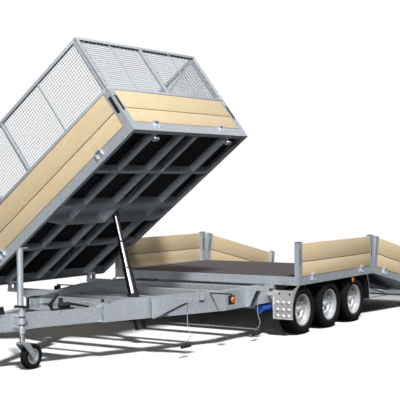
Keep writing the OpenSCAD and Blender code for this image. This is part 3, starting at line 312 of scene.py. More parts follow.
class Paintbox:
    """Makes each finish's material once."""

    def __init__(self) -> None:
        """Builds the shared shader group."""
        self.weathering = Weathering()
        self.made: dict[str, bpy.types.Material] = {}

    def get(self, finish: Finish) -> bpy.types.Material:
        """Gives a finish's material, made at its first use.

        Args:
            finish: The finish.

        Returns:
            The material.
        """
        if finish.name not in self.made:
            self.made[finish.name] = self._make(finish)
        return self.made[finish.name]

    def _coordinates(self, nodes: Nodes, finish: Finish) -> bpy.types.NodeSocket:
        """Gives the socket that a finish reads its pattern from."""
        if finish.coords is Coords.BOARD:
            return nodes.add("ShaderNodeAttribute", attribute_name="board").outputs["Vector"]
        return nodes.add("ShaderNodeTexCoord").outputs["Object"]

    def _make(self, finish: Finish) -> bpy.types.Material:
        """Builds a finish's node tree.

        Args:
            finish: The finish.

        Returns:
            The material.
        """
        material = bpy.data.materials.new(finish.name)
        material.use_nodes = True
        material.diffuse_color = (*finish.color, 1.0)
        nodes = Nodes(material.node_tree)
        shader = material.node_tree.nodes["Principled BSDF"]
        vector = self._coordinates(nodes, finish)
        wear = nodes.add("ShaderNodeGroup")
        wear.node_tree = self.weathering.group
        wear.inputs["Scale"].default_value = finish.scale
        nodes.link(vector, wear.inputs["Vector"])
        mask, height = self._pattern(nodes, finish, vector, wear)
        nodes.link(nodes.mix(mask, finish.color, finish.second), shader.inputs["Base Color"])
        dullest = finish.roughness + finish.spread
        rough = nodes.span(wear.outputs["Blotches"], 0.0, 1.0, finish.roughness, dullest)
        nodes.link(rough, shader.inputs["Roughness"])
        shader.inputs["Metallic"].default_value = finish.metallic
        shader.inputs["Specular IOR Level"].default_value = finish.specular
        bump = nodes.add("ShaderNodeBump", Strength=BUMP_STRENGTH, Distance=finish.bump)
        nodes.link(height, bump.inputs["Height"])
        nodes.link(bump.outputs[0], shader.inputs["Normal"])
        if finish.pattern is Pattern.LENS:
            shader.inputs["Coat Weight"].default_value = LENS_COAT
            shader.inputs["Emission Color"].default_value = (*finish.color, 1.0)
            shader.inputs["Emission Strength"].default_value = LENS_GLOW
        if finish.pattern is Pattern.GRAIN:
            shader.inputs["Coat Weight"].default_value = WOOD_COAT
            shader.inputs["Coat Roughness"].default_value = WOOD_COAT_ROUGHNESS
        return material

    def _pattern(
        self, nodes: Nodes, finish: Finish, vector: bpy.types.NodeSocket, wear: bpy.types.Node
    ) -> tuple[bpy.types.NodeSocket, bpy.types.NodeSocket]:
        """Builds a finish's colour mask and relief.

        Args:
            nodes: The material's tree.
            finish: The finish.
            vector: Where the pattern is read.
            wear: The weathering group's node.

        Returns:
            The colour mask's socket and the height's socket.
        """
        blend = nodes.add("ShaderNodeMath", operation="ADD")
        if finish.pattern is Pattern.GALVANISED:
            cells = nodes.span(wear.outputs["Cells"], 0.0, 1.0, 0.0, 0.45)
            nodes.link(cells, blend.inputs[0])
            nodes.link(nodes.span(wear.outputs["Blotches"], 0.0, 1.0, 0.0, 0.6), blend.inputs[1])
            return blend.outputs[0], wear.outputs["Specks"]
        if finish.pattern is Pattern.GRAIN:
            stretch = nodes.add("ShaderNodeMapping")
            stretch.inputs["Scale"].default_value = (0.35, 6.0, 6.0)
            nodes.link(vector, stretch.inputs["Vector"])
            grain = nodes.add(
                "ShaderNodeTexNoise", Scale=finish.scale, Detail=6.0, Roughness=0.65, Distortion=0.4
            )
            nodes.link(stretch.outputs[0], grain.inputs["Vector"])
            nodes.link(nodes.span(grain.outputs[0], 0.35, 0.68, 0.0, 0.75), blend.inputs[0])
            nodes.link(nodes.span(wear.outputs["Blotches"], 0.0, 1.0, -0.1, 0.25), blend.inputs[1])
            return blend.outputs[0], grain.outputs[0]
        if finish.pattern is Pattern.FILM:
            grip = nodes.add("ShaderNodeTexVoronoi", Scale=220.0, Randomness=0.15)
            nodes.link(vector, grip.inputs["Vector"])
            nodes.link(nodes.span(wear.outputs["Blotches"], 0.0, 1.0, 0.0, 0.7), blend.inputs[0])
            nodes.link(nodes.span(wear.outputs["Specks"], 0.0, 1.0, 0.0, 0.3), blend.inputs[1])
            return blend.outputs[0], grip.outputs["Distance"]
        if finish.pattern is Pattern.CHROME_PAINTED_HIGHLIGHT:
            # Painted highlight and reflection: the bright colour where the surface faces the camera, the dark
            # second colour towards the edges.
            facing = nodes.add("ShaderNodeLayerWeight", Blend=0.5).outputs["Facing"]
            return nodes.span(facing, 0.006, 0.045, 0.0, 1.0), wear.outputs["Specks"]
        if finish.pattern is Pattern.LENS:
            ribs = nodes.add("ShaderNodeTexWave", Scale=finish.scale, Distortion=0.0)
            ribs.bands_direction = "X"
            nodes.link(vector, ribs.inputs["Vector"])
            return ribs.outputs[1], ribs.outputs[1]
        nodes.link(nodes.span(wear.outputs["Blotches"], 0.0, 1.0, 0.0, 0.6), blend.inputs[0])
        nodes.link(nodes.span(wear.outputs["Specks"], 0.0, 1.0, 0.0, 0.4), blend.inputs[1])
        return blend.outputs[0], wear.outputs["Specks"]


@dataclass(frozen=True)
class Layout:
    """The trailer's leading sizes, as part.scad has them, in millimetres and degrees."""

    eye: tuple[float, float, float] = (3850.0, 0.0, 430.0)
    rail_y: float = 1250.0
    beam_y: float = 950.0
    axle_pitch: float = 627.0
    deck_h: float = 629.0
    kink_x: float = -1690.0
    tail_angle: float = 12.0
    tail_l: float = 1800.0
    deck_front_x: float = 181.0
    tip_angle: float = 37.5
    hinge_y: float = 1189.0
    hinge_z: float = 625.0
    body_x: float = 2370.0
    body_rear_x: float = 370.0
    body_y: float = 1275.0
    body_z: float = 655.0
    rail_h: float = 98.0
    board_h: float = 361.0
    body_board_h: float = 397.0
    board_t: float = 26.0
    board_gap: float = 6.0
    groove: float = 8.0
    post_w: float = 90.0
    body_post: float = 80.0
    gate_hang: float = 46.0
    tail_step: float = 12.0
    cage_top: float = 1150.0
    cage_tube: float = 34.0
    beam_w: float = 70.0
    draw_x: float = 1150.0
    nose_run: float = 2405.0

    def level(self) -> Matrix:
        """Places a piece that stands level, from millimetres to the frame."""
        return Matrix.Scale(MM, 4) @ Matrix.Translation(-Vector(self.eye))

    def tipped(self) -> Matrix:
        """Places a piece of the tipped body."""
        pivot = Vector((0.0, -self.hinge_y, self.hinge_z))
        turn = Matrix.Rotation(math.radians(self.tip_angle), 4, "X")
        return self.level() @ Matrix.Translation(pivot) @ turn @ Matrix.Translation(-pivot)

    def sloped(self) -> Matrix:
        """Places a piece of the beavertail, written level with its top at z = 0 behind x = 0."""
        top = Matrix.Translation((self.kink_x, 0.0, self.deck_h))
        return self.level() @ top @ Matrix.Rotation(math.radians(-self.tail_angle), 4, "Y")

    def draw_angle(self) -> float:
        """Gives the drawbar beams' angle to the trailer's length, in radians."""
        reach = math.hypot(self.beam_y, self.nose_run)
        return math.acos(self.beam_w / reach) - math.atan2(self.nose_run, self.beam_y)

    def draw_y(self, x: float) -> float:
        """Gives how far the left drawbar beam's outer face is from the centreline at a place."""
        return self.beam_y - max(0.0, x - self.draw_x) * math.tan(self.draw_angle())


LAYOUT = Layout()


class Shape:
    """A mesh under construction, in millimetres, in its own part's coordinates."""

    def __init__(self) -> None:
        """Starts an empty mesh."""
        self.bm = bmesh.new()
        self.board = self.bm.verts.layers.float_vector.new("board")

    def _bevel(self, verts: Iterable[bmesh.types.BMVert], width: float, segments: int) -> None:
        """Rounds the edges of a new block or prism."""
        if width > 0:
            edges = list({edge for vert in verts for edge in vert.link_edges})
            bmesh.ops.bevel(
                self.bm, geom=edges, offset=width, segments=segments, profile=0.5, affect="EDGES",
                clamp_overlap=True,
            )

    def box(self, low: Point, high: Point, bevel: float = 0.0, segments: int = 2) -> "Shape":
        """Adds a block.

        Args:
            low: Its lowest corner.
            high: Its highest corner.
            bevel: Width of its rounded edges.
            segments: Steps of the rounding.

        Returns:
            This shape.
        """
        low_v, high_v = Vector(low), Vector(high)
        verts = bmesh.ops.create_cube(self.bm, size=1.0)["verts"]
        for vert in verts:
            vert.co = Vector([low_v[i] + (vert.co[i] + 0.5) * (high_v[i] - low_v[i]) for i in range(3)])
        self._bevel(verts, bevel, segments)
        return self

    def prism(self, outline: Outline, axis: str, start: float, depth: float, bevel: float = 0.0) -> "Shape":
        """Adds an extruded outline.

        Args:
            outline: Its corners in the plane across the axis, in the order of the remaining axes.
            axis: The axis that it is extruded along, x, y or z.
            start: Where it starts on that axis.
            depth: How far it goes.
            bevel: Width of its rounded edges.

        Returns:
            This shape.
        """
        index = "xyz".index(axis)
        others = [i for i in range(3) if i != index]

        def corner(point: Sequence[float], at: float) -> Vector:
            """Gives a corner of the outline at a place on the axis."""
            found = Vector((0.0, 0.0, 0.0))
            found[index], found[others[0]], found[others[1]] = at, point[0], point[1]
            return found

        rings = [[self.bm.verts.new(corner(p, at)) for p in outline] for at in (start, start + depth)]
        count = len(outline)
        faces = [self.bm.faces.new(rings[0]), self.bm.faces.new(rings[1])]
        for i in range(count):
            j = (i + 1) % count
            faces.append(self.bm.faces.new((rings[0][i], rings[0][j], rings[1][j], rings[1][i])))
        bmesh.ops.recalc_face_normals(self.bm, faces=faces)
        self._bevel(rings[0] + rings[1], bevel, 2)
        return self

    def tube(self, path: Sequence[Point], radius: float, sides: int = 12) -> "Shape":
        """Adds a round bar along a path.

        Args:
            path: Its centreline.
            radius: Its radius.
            sides: Faces round it.

        Returns:
            This shape.
        """
        points = [Vector(p) for p in path]
        rings = []
        for i, point in enumerate(points):
            along = (points[min(i + 1, len(points) - 1)] - points[max(i - 1, 0)]).normalized()
            aid = Vector((0.0, 0.0, 1.0)) if abs(along.z) < UPRIGHT else Vector((0.0, 1.0, 0.0))
            side = along.cross(aid).normalized()
            up = side.cross(along)
            turns = [math.tau * k / sides for k in range(sides)]
            spots = [point + radius * (math.cos(a) * side + math.sin(a) * up) for a in turns]
            rings.append([self.bm.verts.new(spot) for spot in spots])
        faces = [self.bm.faces.new(rings[0]), self.bm.faces.new(rings[-1])]
        for first, second in zip(rings, rings[1:]):
            for k in range(sides):
                j = (k + 1) % sides
                faces.append(self.bm.faces.new((first[k], first[j], second[j], second[k])))
        bmesh.ops.recalc_face_normals(self.bm, faces=faces)
        return self

    def lathe(self, profile: Outline, centre: Point, axis: str = "y", steps: int = 64) -> "Shape":
        """Adds a turned form.

        Args:
            profile: Closed outline as pairs of radius and place along the axis.
            centre: Point on the axis.
            axis: The axis, x, y or z.
            steps: Faces round it.

        Returns:
            This shape.
        """
        index = "xyz".index(axis)
        first, second = [i for i in range(3) if i != index]
        rings = []
        for k in range(steps):
            turn = math.tau * k / steps
            ring = []
            for radius, along in profile:
                co = Vector(centre)
                co[index] += along
                co[first] += radius * math.cos(turn)
                co[second] += radius * math.sin(turn)
                ring.append(self.bm.verts.new(co))
            rings.append(ring)
        faces = []
        count = len(profile)
        for k in range(steps):
            now, after = rings[k], rings[(k + 1) % steps]
            for i in range(count):
                j = (i + 1) % count
                faces.append(self.bm.faces.new((now[i], now[j], after[j], after[i])))
        bmesh.ops.recalc_face_normals(self.bm, faces=faces)
        return self

    def mesh(self, name: str, place: Matrix, grain: str = "xyz") -> bpy.types.Mesh:
        """Ends the mesh and places it.

        Args:
            name: The mesh's name.
            place: From the part's coordinates to the frame.
            grain: Which axes run along, across and through a board.

        Returns:
            The mesh.
        """
        bmesh.ops.remove_doubles(self.bm, verts=self.bm.verts[:], dist=MERGE_DISTANCE)
        order = ["xyz".index(c) for c in grain]
        for vert in self.bm.verts:
            vert[self.board] = Vector([vert.co[i] for i in order]) * MM
        self.bm.transform(place)
        mesh = bpy.data.meshes.new(name)
        self.bm.to_mesh(mesh)
        self.bm.free()
        return mesh


class Bench:
    """Turns shapes into finished pieces that ride on their bodies."""

    def __init__(self, frame: dict, paint: Paintbox) -> None:
        """Keeps the frame and the materials."""
        self.frame = frame
        self.paint = paint
        self.trees: dict[Form, RepeatTree] = {}
        self.count = 0

    def fit(
        self, mesh: bpy.types.Mesh, name: str, finish: Finish, body: str, replaced: Sequence[str] = ()
    ) -> bpy.types.Object:
        """Makes a piece of a finished mesh.

        Args:
            mesh: The mesh, in the frame.
            name: The piece's name.
            finish: Its finish.
            body: The body that it rides on.
            replaced: CAD nodes that it stands for.

        Returns:
            The piece.
        """
        mesh.materials.clear()
        mesh.materials.append(self.paint.get(finish))
        mesh.shade_smooth()
        mesh.set_sharp_from_angle(angle=math.radians(SHARP_DEGREES))
        piece = bpy.data.objects.new(name, mesh)
        bpy.context.scene.collection.objects.link(piece)
        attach(piece, body)
        if replaced:
            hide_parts(*replaced)
        self.count += 1
        LOG.info("piece %s on %s: %d faces", name, body, len(mesh.polygons))
        return piece

    def add(
        self,
        shape: Shape,
        name: str,
        finish: Finish,
        body: str,
        place: Optional[Matrix] = None,
        replaced: Sequence[str] = (),
        grain: str = "xyz",
    ) -> bpy.types.Object:
        """Makes a piece of a shape.

        Args:
            shape: The shape.
            name: The piece's name.
            finish: Its finish.
            body: The body that it rides on.
            place: From the part's coordinates to the frame; level where it is left out.
            replaced: CAD nodes that it stands for.
            grain: Which axes run along, across and through a board.

        Returns:
            The piece.
        """
        mesh = shape.mesh(name, place or LAYOUT.level(), grain)
        return self.fit(mesh, name, finish, body, replaced)

    def repeat(
        self,
        form: "Form",
        points: Sequence[Copy],
        name: str,
        finish: Finish,
        body: str,
        place: Optional[Matrix] = None,
    ) -> bpy.types.Object:
        """Makes a piece of one small form repeated at points by Geometry Nodes.

        Args:
            form: The form that is repeated.
            points: Each copy's place, turn in radians and size, in millimetres.
            name: The piece's name.
            finish: Its finish.
            body: The body that it rides on.
            place: From the part's coordinates to the frame; level where it is left out.

        Returns:
            The piece.
        """
        if form not in self.trees:
            self.trees[form] = RepeatTree(form)
        mesh = self.trees[form].realize(points, name, self.paint.get(finish))
        mesh.transform(place or LAYOUT.level())
        return self.fit(mesh, name, finish, body)


class Form(Enum):
    """Small forms that a tree can repeat."""

    BAR = "bar"
    BOLT = "bolt"


class RepeatTree:
    """Geometry Nodes tree that sets one small form on each point of a mesh."""

    def __init__(self, form: Form) -> None:
        """Builds the tree.

        Args:
            form: The form that is repeated.
        """
        tree = bpy.data.node_groups.new(f"repeat_{form.value}", "GeometryNodeTree")
        tree.interface.new_socket("Geometry", in_out="INPUT", socket_type="NodeSocketGeometry")
        for name, value in (("Length", 1.0), ("Width", 1.0), ("Height", 1.0)):
            socket = tree.interface.new_socket(name, in_out="INPUT", socket_type="NodeSocketFloat")
            socket.default_value = value
        tree.interface.new_socket("Finish", in_out="INPUT", socket_type="NodeSocketMaterial")
        tree.interface.new_socket("Geometry", in_out="OUTPUT", socket_type="NodeSocketGeometry")
        nodes = Nodes(tree)
        source = nodes.add("NodeGroupInput")
        target = nodes.add("NodeGroupOutput")
        if form is Form.BAR:
            size = nodes.add("ShaderNodeCombineXYZ")
            for axis, name in zip("XYZ", ("Length", "Width", "Height")):
                nodes.link(source.outputs[name], size.inputs[axis])
            base = nodes.add("GeometryNodeMeshCube")
            nodes.link(size.outputs[0], base.inputs["Size"])
        else:
            base = nodes.add("GeometryNodeMeshCylinder")
            base.inputs["Vertices"].default_value = BOLT_SIDES
            nodes.link(source.outputs["Width"], base.inputs["Radius"])
            nodes.link(source.outputs["Height"], base.inputs["Depth"])
        turn, size_of = (self._attribute(nodes, name) for name in ("turn", "size"))
        angles = nodes.add("FunctionNodeEulerToRotation")
        nodes.link(turn.outputs["Attribute"], angles.inputs[0])
        placed = nodes.add("GeometryNodeInstanceOnPoints")
        nodes.link(source.outputs["Geometry"], placed.inputs["Points"])
        nodes.link(base.outputs["Mesh"], placed.inputs["Instance"])
        nodes.link(angles.outputs[0], placed.inputs["Rotation"])
        nodes.link(size_of.outputs["Attribute"], placed.inputs["Scale"])
        real = nodes.add("GeometryNodeRealizeInstances")
        nodes.link(placed.outputs[0], real.inputs[0])
        dressed = nodes.add("GeometryNodeSetMaterial")
        nodes.link(real.outputs[0], dressed.inputs["Geometry"])
        nodes.link(source.outputs["Finish"], dressed.inputs["Material"])
        nodes.link(dressed.outputs[0], target.inputs[0])
        self.tree = tree

    def _attribute(self, nodes: Nodes, name: str) -> bpy.types.Node:
        """Adds a node that reads one of the points' attributes."""
        node = nodes.add("GeometryNodeInputNamedAttribute", data_type="FLOAT_VECTOR")
        node.inputs["Name"].default_value = name
        return node

    def realize(self, points: Sequence[Copy], name: str, material: bpy.types.Material) -> bpy.types.Mesh:
        """Runs the tree over some points.

        Args:
            points: Each copy's place, turn in radians and size.
            name: The mesh's name.
            material: What the copies are made of.

        Returns:
            The plain mesh of all copies.
        """
        seed = bpy.data.meshes.new(name + "_points")
        seed.from_pydata([tuple(p[0]) for p in points], [], [])
        for index, key in ((1, "turn"), (2, "size")):
            attribute = seed.attributes.new(key, "FLOAT_VECTOR", "POINT")
            attribute.data.foreach_set("vector", [c for p in points for c in p[index]])
        carrier = bpy.data.objects.new(name + "_carrier", seed)
        bpy.context.scene.collection.objects.link(carrier)
        modifier = carrier.modifiers.new("repeat", "NODES")
        modifier.node_group = self.tree
        inputs = {s.name: s.identifier for s in self.tree.interface.items_tree if s.in_out == "INPUT"}
        for key in ("Length", "Width", "Height"):
            modifier[inputs[key]] = 1.0
        modifier[inputs["Finish"]] = material
        evaluated = carrier.evaluated_get(bpy.context.evaluated_depsgraph_get())
        mesh = bpy.data.meshes.new_from_object(evaluated)
        mesh.name = name
        for key in ("turn", "size"):
            if key in mesh.attributes:
                mesh.attributes.remove(mesh.attributes[key])
        carrier.modifiers.clear()
        bpy.data.objects.remove(carrier)
        bpy.data.meshes.remove(seed)
        return mesh


@dataclass(frozen=True)
class Studio:
    """Camera, lamps, world and floor."""

    position: Triple = (6.388, 6.819, 1.190)
    yaw: float = 0.5811
    pitch: float = -0.0133
    roll: float = -0.01
    sensor: float = 36.0
    lens: float = 96.65
    shift_x: float = -0.0422
    clip: tuple[float, float] = (0.1, 300.0)
    key_direction: Triple = (0.416, 0.470, 0.778)
    key_strength: float = 4.1
    key_size: float = 6.0
    fill_direction: Triple = (0.97, 0.22, 0.06)
    fill_strength: float = 1.0
    fill_size: float = 12.0
    sky_strength: float = 0.035
    mirror_from: tuple[float, float] = (0.1, 0.95)
    mirror_to: tuple[float, float] = (0.36, 1.7)
    floor_z: float = -0.4305
    floor_half: float = 120.0
    floor_roughness: float = 0.9
    floor_color: Triple = (0.96, 0.96, 0.96)
    floor_bounce: Triple = (0.035, 0.035, 0.035)
    floor_glow: float = 0.004

    def build(self) -> None:
        """Builds the camera first, then the light and the floor."""
        self._camera()
        self._world()
        self._lamps()
        self._floor()
        view = bpy.context.scene.view_settings
        view.view_transform = "Standard"

    def _camera(self) -> None:
        """Sets the camera at the photograph's place."""
        ahead = math.cos(self.pitch)
        look = Vector((-math.cos(self.yaw) * ahead, -math.sin(self.yaw) * ahead, math.sin(self.pitch)))
        level = look.cross(Vector((0.0, 0.0, 1.0))).normalized()
        up = level.cross(look)
        right = math.cos(self.roll) * level + math.sin(self.roll) * up
        top = right.cross(look)
        data = bpy.data.cameras.new("camera")
        data.sensor_width, data.lens, data.shift_x = self.sensor, self.lens, self.shift_x
        data.clip_start, data.clip_end = self.clip
        camera = bpy.data.objects.new("camera", data)
        turn = Matrix((right, top, -look)).transposed().to_4x4()
        camera.matrix_world = Matrix.Translation(self.position) @ turn
        bpy.context.scene.collection.objects.link(camera)
        bpy.context.scene.camera = camera

    def _world(self) -> None:
        """Makes a soft sky that is white to the camera and, to mirrors, bright on the key's side only."""
        world = bpy.data.worlds.new("studio")
        world.use_nodes = True
        bpy.context.scene.world = world
        nodes = Nodes(world.node_tree)
        back = world.node_tree.nodes["Background"]
        back.inputs["Color"].default_value = (1.0, 1.0, 1.0, 1.0)
        path = nodes.add("ShaderNodeLightPath")
        toward = nodes.add("ShaderNodeVectorMath", operation="DOT_PRODUCT")
        toward.inputs[1].default_value = self.key_direction
        nodes.link(nodes.add("ShaderNodeTexCoord").outputs["Generated"], toward.inputs[0])
        mirrored = nodes.span(toward.outputs["Value"], *self.mirror_from, *self.mirror_to)
        strength = self.sky_strength
        for ray, value in (("Is Glossy Ray", mirrored), ("Is Camera Ray", 1.0)):
            pick = nodes.add("ShaderNodeMix")
            nodes.link(path.outputs[ray], pick.inputs[0])
            for socket, part in ((pick.inputs[2], strength), (pick.inputs[3], value)):
                if isinstance(part, bpy.types.NodeSocket):
                    nodes.link(part, socket)
                else:
                    socket.default_value = part
            strength = pick.outputs[0]
        nodes.link(strength, back.inputs["Strength"])

    def _lamps(self) -> None:
        """Adds a soft sun from the front left and a weak, low one from the front."""
        for name, strength, size, direction in (
            ("key", self.key_strength, self.key_size, self.key_direction),
            ("fill", self.fill_strength, self.fill_size, self.fill_direction),
        ):
            data = bpy.data.lights.new(name, "SUN")
            data.energy, data.angle, data.color = strength, math.radians(size), (1.0, 1.0, 1.0)
            lamp = bpy.data.objects.new(name, data)
            lamp.rotation_mode = "QUATERNION"
            lamp.rotation_quaternion = Vector(direction).to_track_quat("Z", "Y")
            bpy.context.scene.collection.objects.link(lamp)

    def _floor(self) -> None:
        """Adds the pale floor, which keeps the trailer's shadow."""
        mesh = bpy.data.meshes.new("floor")
        r, z = self.floor_half, self.floor_z
        corners = [(-r, -r, z), (r, -r, z), (r, r, z), (-r, r, z)]
        mesh.from_pydata(corners, [], [(0, 1, 2, 3)])
        material = bpy.data.materials.new("floor")
        material.use_nodes = True
        shader = material.node_tree.nodes["Principled BSDF"]
        shader.inputs["Roughness"].default_value = self.floor_roughness
        shader.inputs["Specular IOR Level"].default_value = 0.0
        nodes = Nodes(material.node_tree)
        seen = nodes.add("ShaderNodeLightPath").outputs["Is Camera Ray"]
        nodes.link(nodes.mix(seen, self.floor_bounce, self.floor_color), shader.inputs["Base Color"])
        shader.inputs["Emission Color"].default_value = (1.0, 1.0, 1.0, 1.0)
        nodes.link(nodes.span(seen, 0.0, 1.0, 0.0, self.floor_glow), shader.inputs["Emission Strength"])
        mesh.materials.append(material)
        floor = bpy.data.objects.new("floor", mesh)
        bpy.context.scene.collection.objects.link(floor)


@dataclass
class Lanyards:
    """The two wires that hold the pulled lock pins."""

    bench: Bench
    diameter: float = 6.0
    roundness: int = 3
    routes: tuple[tuple[str, tuple[Triple, ...]], ...] = (
        ("front", (
            (1975, 1050, 553.7), (1975, 1050, 530), (1975, 1050, 500), (1975, 1050, 470), (1975, 1049, 440),
            (1975, 1048, 410), (1975, 1047, 380), (1975, 1046, 350), (1975, 1047, 320), (1975, 1052, 295),
            (1975, 1062, 270), (1975, 1075, 245), (1975, 1081, 222), (1975, 1077, 200), (1975, 1063, 182),
            (1975, 1044, 167), (1975, 1028, 155), (1975, 1028, 145),
        )),
        ("rear", (
            (700, 1050, 553.7), (700, 1050, 530), (700, 1050, 500), (700, 1050, 470), (700, 1050, 440),
            (700, 1050, 410), (700, 1050, 380), (700, 1049, 350), (700, 1049, 320), (700, 1050, 290),
            (700, 1056, 262), (700, 1066, 238), (700, 1074, 216), (700, 1075, 194), (700, 1068, 172),
            (700, 1056, 150), (700, 1040, 132), (700, 1026, 118), (700, 1026, 108),
        )),
    )

    def build(self) -> None:
        """Makes both wires as one smooth curve each."""
        for name, route in self.routes:
            points = [LAYOUT.level() @ Vector(p) for p in self._smooth([Vector(p) for p in route])]
            curve = bpy.data.curves.new(f"lanyard_wire_{name}", "CURVE")
            curve.dimensions = "3D"
            curve.bevel_depth, curve.bevel_resolution = self.diameter / 2 * MM, self.roundness
            curve.use_fill_caps = True
            spline = curve.splines.new("POLY")
            spline.points.add(len(points) - 1)
            for target, point in zip(spline.points, points):
                target.co = (*point, 1.0)
            curve.materials.append(self.bench.paint.get(CORD))
            piece = bpy.data.objects.new(f"lanyard_wire_{name}", curve)
            bpy.context.scene.collection.objects.link(piece)
            length = sum((b - a).length for a, b in zip(points, points[1:]))
            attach(piece, "chassis")
            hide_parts(f"lanyard_{name}")
            LOG.info("cord %s: %.3f m", piece.name, length)

    def _smooth(self, route: list[Vector], steps: int = 3) -> list[Vector]:
        """Puts points between those of a route, on a smooth curve through them."""
        found = []
        for i in range(len(route) - 1):
            p0, p1, p2, p3 = (route[max(i - 1, 0)], route[i], route[i + 1], route[min(i + 2, len(route) - 1)])
            for k in range(steps):
                t = k / steps
                square, cube = 2 * p0 - 5 * p1 + 4 * p2 - p3, 3 * p1 - p0 - 3 * p2 + p3
                found.append(0.5 * ((2 * p1) + (p2 - p0) * t + square * t * t + cube * t**3))
        return found + [route[-1]]


@dataclass
class Boards:
    """The cream side boards of two planks each, with their hinges."""

    bench: Bench
    edge: float = 3.0
    split: float = 0.42
    tongue_in: float = 4.0
    seal_drop: float = 4.5
    knuckle_out: float = 12.0
    knuckle_up: float = 9.0
    knuckle_d: float = 16.0
    knuckle_l: float = 60.0
    bore_r: float = 4.3
    strap_t: float = 4.0
    strap_h: float = 24.0
    bolt_apart: float = 18.0
    bolt_out: float = 5.0
    bolt_up: float = 17.0
    bolt_size: Triple = (5.0, 5.0, 4.0)
    rail_hinges: tuple[float, float] = (0.14, 0.86)
    body_hinges: tuple[float, float] = (0.2, 0.82)
    front_hinges: tuple[float, float] = (0.16, 0.84)
    gate_pin_out: float = 11.0
    gate_pin_down: float = 12.0
    gate_arm_w: float = 40.0
    gate_arm_h: float = 60.0
    rear_in: float = 8.0
    rear_low: float = 160.0

    def build(self) -> None:
        """Makes the boards of deck, tail and body."""
        lay = LAYOUT
        gap, post = lay.board_gap, lay.body_post
        deck = (lay.kink_x + lay.post_w + gap, lay.deck_front_x - lay.post_w - gap)
        tail = (-lay.tail_l + lay.post_w + gap, -lay.post_w - lay.tail_step - gap)
        body = (lay.body_rear_x + post + gap, lay.body_x - post - gap)
        deck_place = lay.level() @ Matrix.Translation((0.0, 0.0, lay.deck_h))
        body_place = lay.tipped() @ Matrix.Translation((0.0, 0.0, lay.body_z + lay.rail_h))
        for side, s in SIDES:
            for name, ends, place in (("deck", deck, deck_place), ("tail", tail, lay.sloped())):
                node = f"{name}_board_{side}"
                self._hinged(node, ends, s, lay.rail_y, lay.board_h, place, self.rail_hinges)
        high, half = lay.body_board_h - gap, lay.body_y - post - gap
        turned = body_place @ Matrix.Rotation(math.radians(-90), 4, "Z")
        for name, ends, face, place, hinges in (
            ("left", body, lay.body_y, body_place, self.body_hinges),
            ("front", (-half, half), lay.body_x, turned, self.front_hinges),
        ):
            self._hinged(f"body_board_{name}", ends, 1, face, high, place, hinges, f"{name}_drop_side")
        self._gate(body, body_place)
        self._rear_end()

    def _planks(self, ends: tuple[float, float], face: float, s: int, low: float, high: float) -> Shape:
        """Makes the two planks of a board, one over the other.

        Args:
            ends: Where the board starts and ends along the trailer.
            face: Its outer face from the centreline.
            s: 1 on the left and -1 on the right.
            low: Its lower edge.
            high: Its upper edge.

        Returns:
            The planks' shape.
        """
        cut = LAYOUT.board_gap + high * self.split
        y0, y1 = across(s, face - LAYOUT.board_t, face)
        shape = Shape().box((ends[0], y0, low), (ends[1], y1, cut), self.edge)
        return shape.box((ends[0], y0, cut + LAYOUT.groove), (ends[1], y1, high), self.edge)

    def _gap_shade(self, ends: tuple[float, float], face: float, s: int, low: float, high: float) -> Shape:
        """Makes the tongue between two planks and the seal under the lower one, dark brown as painted shade
        in the groove and in the gap under the board.

        Args:
            ends: Where the board starts and ends along the trailer.
            face: Its outer face from the centreline.
            s: 1 on the left and -1 on the right.
            low: Its lower edge.
            high: Its upper edge.

        Returns:
            The shape of both.
        """
        t = self.tongue_in
        cut = LAYOUT.board_gap + high * self.split
        y0, y1 = across(s, face - LAYOUT.board_t, face)
        shape = Shape().box((ends[0] + 2, y0 + t, cut - t), (ends[1] - 2, y1 - t, cut + LAYOUT.groove + t))
        return shape.box((ends[0] + 3, y0 + 5, low - self.seal_drop), (ends[1] - 3, y1 - 2, low + 2), 0.8)

    def _knuckle(self, shape: Shape, at: Point, length: float) -> None:
        """Adds an open hinge knuckle that starts at a point and runs along the board."""
        r = self.knuckle_d / 2
        shape.lathe([(self.bore_r, 0), (r, 0), (r, length), (self.bore_r, length)], at, "x", KNUCKLE_STEPS)

    def _hinged(
        self,
        node: str,
        ends: tuple[float, float],
        s: int,
        face: float,
        high: float,
        place: Matrix,
        hinges: tuple[float, float],
        body: str = "",
    ) -> None:
        """Makes a board that drops outwards about its lower edge, and its hinge leaves.

        Args:
            node: The CAD node that it stands for.
            ends: Where it starts and ends along the trailer.
            s: 1 on the left and -1 on the right.
            face: Its outer face from the centreline.
            high: Its upper edge above the rail.
            place: From the board's coordinates to the frame.
            hinges: Places of the hinges, as shares of the board's length.
            body: The body that it rides on; the node's own name where it is left out.
        """
        body = body or node
        low, up, r = LAYOUT.board_gap, self.knuckle_up, self.knuckle_d / 2
        planks, tongue = self._planks(ends, face, s, low, high), self._gap_shade(ends, face, s, low, high)
        self.bench.add(planks, f"{node}_planks", PLANK, body, place, [node])
        # The tongue and the seal carry the painted shade of the groove and of the gap under the board.
        self.bench.add(tongue, f"{node}_gap_shade", PAINTED_GAP_SHADE, body, place)
        leaf, bolts = Shape(), []
        for f in hinges:
            middle = ends[0] + (ends[1] - ends[0]) * f
            x = middle - self.knuckle_l / 2
            self._knuckle(leaf, (x, s * (face + self.knuckle_out), up), self.knuckle_l)
            y0, y1 = across(s, face, face + self.strap_t)
            leaf.box((x, y0, up + 4), (x + self.knuckle_l, y1, up + self.strap_h), 1.5)
            y0, y1 = across(s, face - 2, face + self.knuckle_out - 3)
            leaf.box((x, y0, up + 2), (x + self.knuckle_l, y1, up + r), 1.0)
            for dx in (-self.bolt_apart, self.bolt_apart):
                at = (middle + dx, s * (face + self.bolt_out), up + self.bolt_up)
                bolts.append((at, ACROSS_Y, self.bolt_size))
        self.bench.add(leaf, f"{node}_hinges", GALVANISED, body, place)
        self.bench.repeat(Form.BOLT, bolts, f"{node}_bolts", BRIGHT, body, place)

